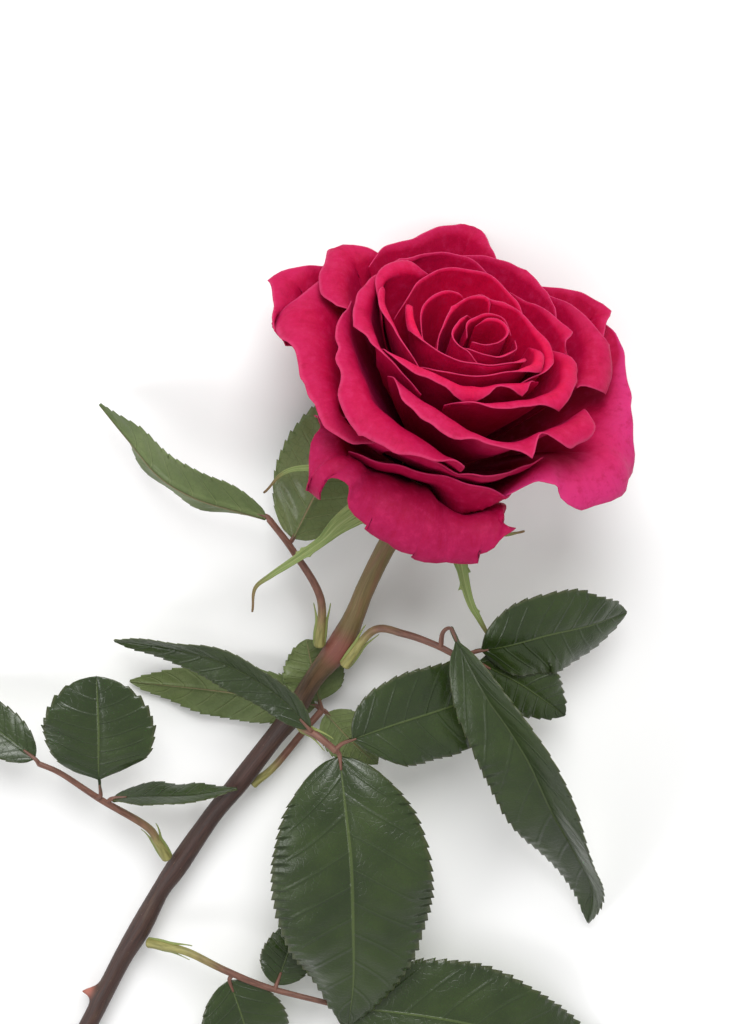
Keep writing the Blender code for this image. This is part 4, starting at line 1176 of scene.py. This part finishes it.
def cane_skin():
    skin, shader, start, (turn, run, grown), _ = finish("cane skin", Specular_IOR_Level=0.5)
    ring = start.maths("SINE", turn * (2 * math.pi))
    ring2 = start.maths("COSINE", turn * (2 * math.pi))
    streak = start.noise(start.vector(ring * 3.0, ring2 * 3.0, run * 0.045), 3.0, 6.0, 0.65)
    patch = start.noise(start.vector(ring, ring2, run * 0.06), 1.3, 3.0)
    speck = start.node("ShaderNodeTexVoronoi", None,
                       {"Vector": start.vector(ring * 2.0, ring2 * 2.0, run * 0.55), "Scale": 1.5},
                       out="Distance")
    dot = (1 - speck.step(0.04, 0.14)) * streak.step(0.45, 0.6)
    young = (run + patch * 40.0).step(NODE_AT - 10.0, NODE_AT + 45.0)
    old = streak.step(0.35, 0.7).mix((0.024, 0.010, 0.007), (0.062, 0.024, 0.017))
    old = (patch.step(0.5, 0.75) * 0.35).mix(old, (0.105, 0.062, 0.034))
    new = streak.step(0.35, 0.7).mix((0.120, 0.085, 0.024), (0.205, 0.150, 0.052))
    new = (patch.step(0.45, 0.7) * 0.55).mix(new, (0.19, 0.075, 0.042))
    colour = young.mix(old, new)
    swollen = run.step(NODE_AT - 7.0, NODE_AT - 1.0) * (1 - run.step(NODE_AT + 1.0, NODE_AT + 8.0))
    colour = (swollen * 0.60).mix(colour, (0.22, 0.048, 0.048))
    colour = run.step(NODE_AT + 42.0, NODE_AT + 50.0).mix(colour, (0.13, 0.16, 0.045))
    colour = (dot * 0.5).mix(colour, (0.34, 0.25, 0.17))
    thorn, cut = grown.step(1.05, 1.5), 1 - run.step(-0.9, -0.4)
    colour = thorn.mix(colour, (0.36, 0.12, 0.085))
    colour = cut.mix(colour, (0.50, 0.48, 0.30))
    wear(shader, start, streak * 0.8 + dot * 0.6, 0.5, 0.25 * MM, Base_Color=colour,
         Roughness=0.40 + 0.25 * streak)
    return skin


CANE = cane_skin()
print("the top node is", round(NODE_AT), "mm from the cut end")

# %% [markdown]
# Leaf stalks run from yellow-green at the cane to red-brown where the leaflets hang, and their
# ears stay green. Sepals are light green with dry brown tips and a pale keel. Their place
# numbers are read as shares of the length, so a short sepal dries as far as a long one.

# %% The skins of stalks and sepals
def stalk_skin():
    skin, shader, start, (turn, run, grown), where = finish("stalk skin", Specular_IOR_Level=0.5)
    ring = start.maths("SINE", turn * (2 * math.pi))
    streak = start.noise(start.vector(ring * 2.0, turn * 3.0, run * 0.10), 3.0, 5.0, 0.6)
    patch = start.noise(where, 45.0, 3.0)
    green = streak.step(0.3, 0.7).mix((0.170, 0.160, 0.045), (0.310, 0.285, 0.095))
    red = streak.step(0.3, 0.7).mix((0.095, 0.038, 0.026), (0.200, 0.088, 0.058))
    flush = (patch * 0.5 + ring * 0.06 + grown * 0.75).step(0.36, 0.66)
    colour = flush.mix(green, red)
    colour = grown.step(WING - 1.0, WING - 0.5).mix(colour, (0.20, 0.24, 0.065))
    wear(shader, start, streak, 0.4, 0.18 * MM, Base_Color=colour, Roughness=0.42 + 0.2 * streak)
    return skin


def sepal_skin():
    skin, shader, start, (across, along, face), where = finish(
        "sepal skin", Specular_IOR_Level=0.4, Subsurface_Weight=0.06, Subsurface_Scale=0.8 * MM)
    fibre = start.noise(start.vector(across * 4.0, along * 2.0, face), 3.0, 5.0, 0.6)
    down = start.noise(where, 1800.0, 2.0)
    fresh = fibre.step(0.35, 0.7).mix((0.13, 0.19, 0.05), (0.30, 0.36, 0.13))
    fresh = (face * 0.35).mix(fresh, (0.36, 0.40, 0.20))
    colour = along.step(0.72, 0.97).mix(fresh, (0.19, 0.115, 0.050))
    keel = (1 - across.size().step(0.02, 0.16)) * 0.4
    colour = keel.mix(colour, (0.40, 0.44, 0.20))
    wear(shader, start, fibre * 0.8 + down * 0.25, 0.5, 0.2 * MM, Base_Color=colour,
         Roughness=0.55 + 0.2 * fibre)
    return skin


STALK, SEPAL = stalk_skin(), sepal_skin()
print("the finishes", [skin.name for skin in (VELVET, WAX, CANE, STALK, SEPAL)])

# %% [markdown]
# ## Putting the rose together
#
# Every visible piece takes the place of the plain piece with the same name, rides on the one
# body, and is told which finish it takes. The points of a petal that would dip into the table
# are pressed flat against it, as the weight of the bloom would do. A shrinkwrap could do that
# too, but one line on the heights is enough for a level table.

# %% Placing one piece
PRESSED = 1.5 * MM       # whatever dips lower than this is pressed flat by the table


def add_piece(name, points, faces, place, slot, finish):
    """One visible piece that stands for the plain piece of the same name."""
    spots = points * MM + HOME
    low = spots[:, 2] < PRESSED
    spots[low, 2] = PRESSED * np.exp(spots[low, 2] / PRESSED - 1)
    mesh = bpy.data.meshes.new(name)
    mesh.from_pydata(spots.tolist(), [], [list(map(int, f)) for f in faces])
    told = mesh.attributes.new("place", "FLOAT_VECTOR", "POINT")
    told.data.foreach_set("vector", np.asarray(place, np.float32).ravel())
    mesh.shade_smooth()
    mesh.materials.append(finish)
    piece = bpy.data.objects.new(name + "_look", mesh)
    bpy.context.scene.collection.objects.link(piece)
    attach(piece, "root")
    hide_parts(name)
    return piece


print("pieces are pressed flat below", PRESSED / MM, "mm")

# %% Petals
FACES_AT = (0.06, 0.38)     # a petal's two faces from its settled middle: it is 0.32 mm thick
for name, (grid, away) in flower.items():
    nu, nv = grid.shape[:2]
    across, along = np.broadcast_arrays(np.linspace(-1, 1, nu)[:, None], np.linspace(0, 1, nv)[None])
    inner, outer = (to_rose(grid + away * d) for d in FACES_AT)
    points, faces, place = two_faced(inner, outer, across, along)
    piece = add_piece(name, points, faces, place, "petal", VELVET)
    age_and_shade_layer = piece.data.attributes.new("age", "FLOAT", "POINT")
    age = AGES_AND_SHADE.get(name, list(flower).index(name) / len(flower))
    age_and_shade_layer.data.foreach_set("value", np.full(len(points), age, np.float32))
print(len(flower), "petals placed")

# %% Leaflets, stalks, sepals and the cane
for name in LEAVES:
    add_piece(name, *leaflet(name), "leaf", WAX)
for name in STALKS:
    add_piece(name, *stalk(name), "stalk", STALK)
for name in SEPALS:
    add_piece(name, *sepal(name), "sepal", SEPAL)
add_piece("stem", *cane(), "stem", CANE)
print(len(LEAVES), "leaflets,", len(STALKS), "stalks,", len(SEPALS), "sepals and the cane placed")

# %% [markdown]
# ## The table, the light and the camera
#
# The rose lies on a plain pale table in a bright room. A large soft lamp above the head of the
# rose gives the light its direction, and the pale surroundings fill the hollows between the
# petals. The camera looks down, leaning a little towards the cut end, through a long lens, so
# the bloom isn't stretched.

# %% Table
bpy.ops.mesh.primitive_grid_add(x_subdivisions=8, y_subdivisions=8, size=6)
table = bpy.context.object
table.name = "table"
table.data.materials.append(bpy.data.materials.new("pale table"))
table.active_material.use_nodes = True
board = table.active_material.node_tree.nodes["Principled BSDF"]
paint = Wire(table.active_material.node_tree)
cloudy = paint.noise(paint.node("ShaderNodeTexCoord", out="Object"), 3.0, 3.0)
wear(board, paint, Base_Color=cloudy.mix((0.90, 0.90, 0.90), (0.94, 0.94, 0.935)))
board.inputs["Roughness"].default_value = 0.75
board.inputs["Specular IOR Level"].default_value = 0.2
print("table", table.dimensions.to_tuple(1))

# %% Light
world = bpy.data.worlds.new("bright room")
bpy.context.scene.world = world
world.use_nodes = True
world.node_tree.nodes["Background"].inputs["Color"].default_value = (1.0, 1.0, 1.0, 1)
world.node_tree.nodes["Background"].inputs["Strength"].default_value = 0.66


def lamp(name, size, power, at, aim):
    data = bpy.data.lights.new(name, "AREA")
    data.shape, data.size, data.energy = "DISK", size, power
    light = bpy.data.objects.new(name, data)
    light.location = at
    light.rotation_euler = (Vector(aim) - Vector(at)).to_track_quat("-Z", "Y").to_euler()
    bpy.context.scene.collection.objects.link(light)


LIT_SPOT = (0, 0, 0.03)
lamp("soft lamp", 0.8, 18.5, (0.10, 1.10, 1.08), LIT_SPOT)
lamp("side lamp", 0.5, 3.5, (-0.85, -0.35, 0.75), LIT_SPOT)
print("two lamps and a bright room")

# %% Camera
LEAN = math.radians(20)                     # how far the view leans from straight down
REACH = 0.740                               # from the camera to the spot it looks at
LOOKED_AT = np.array([0, 0, 15.0]) * MM + HOME
eye = LOOKED_AT + REACH * np.array([0, math.sin(LEAN), math.cos(LEAN)])
view = bpy.data.cameras.new("camera")
view.lens, view.sensor_width, view.sensor_fit = 100, 36, "AUTO"
camera = bpy.data.objects.new("camera", view)
camera.location, camera.rotation_euler = eye, (-LEAN, 0, 0)
bpy.context.scene.collection.objects.link(camera)
bpy.context.scene.camera = camera
bpy.context.scene.view_settings.view_transform = "Standard"
print("camera at", camera.location.to_tuple(3))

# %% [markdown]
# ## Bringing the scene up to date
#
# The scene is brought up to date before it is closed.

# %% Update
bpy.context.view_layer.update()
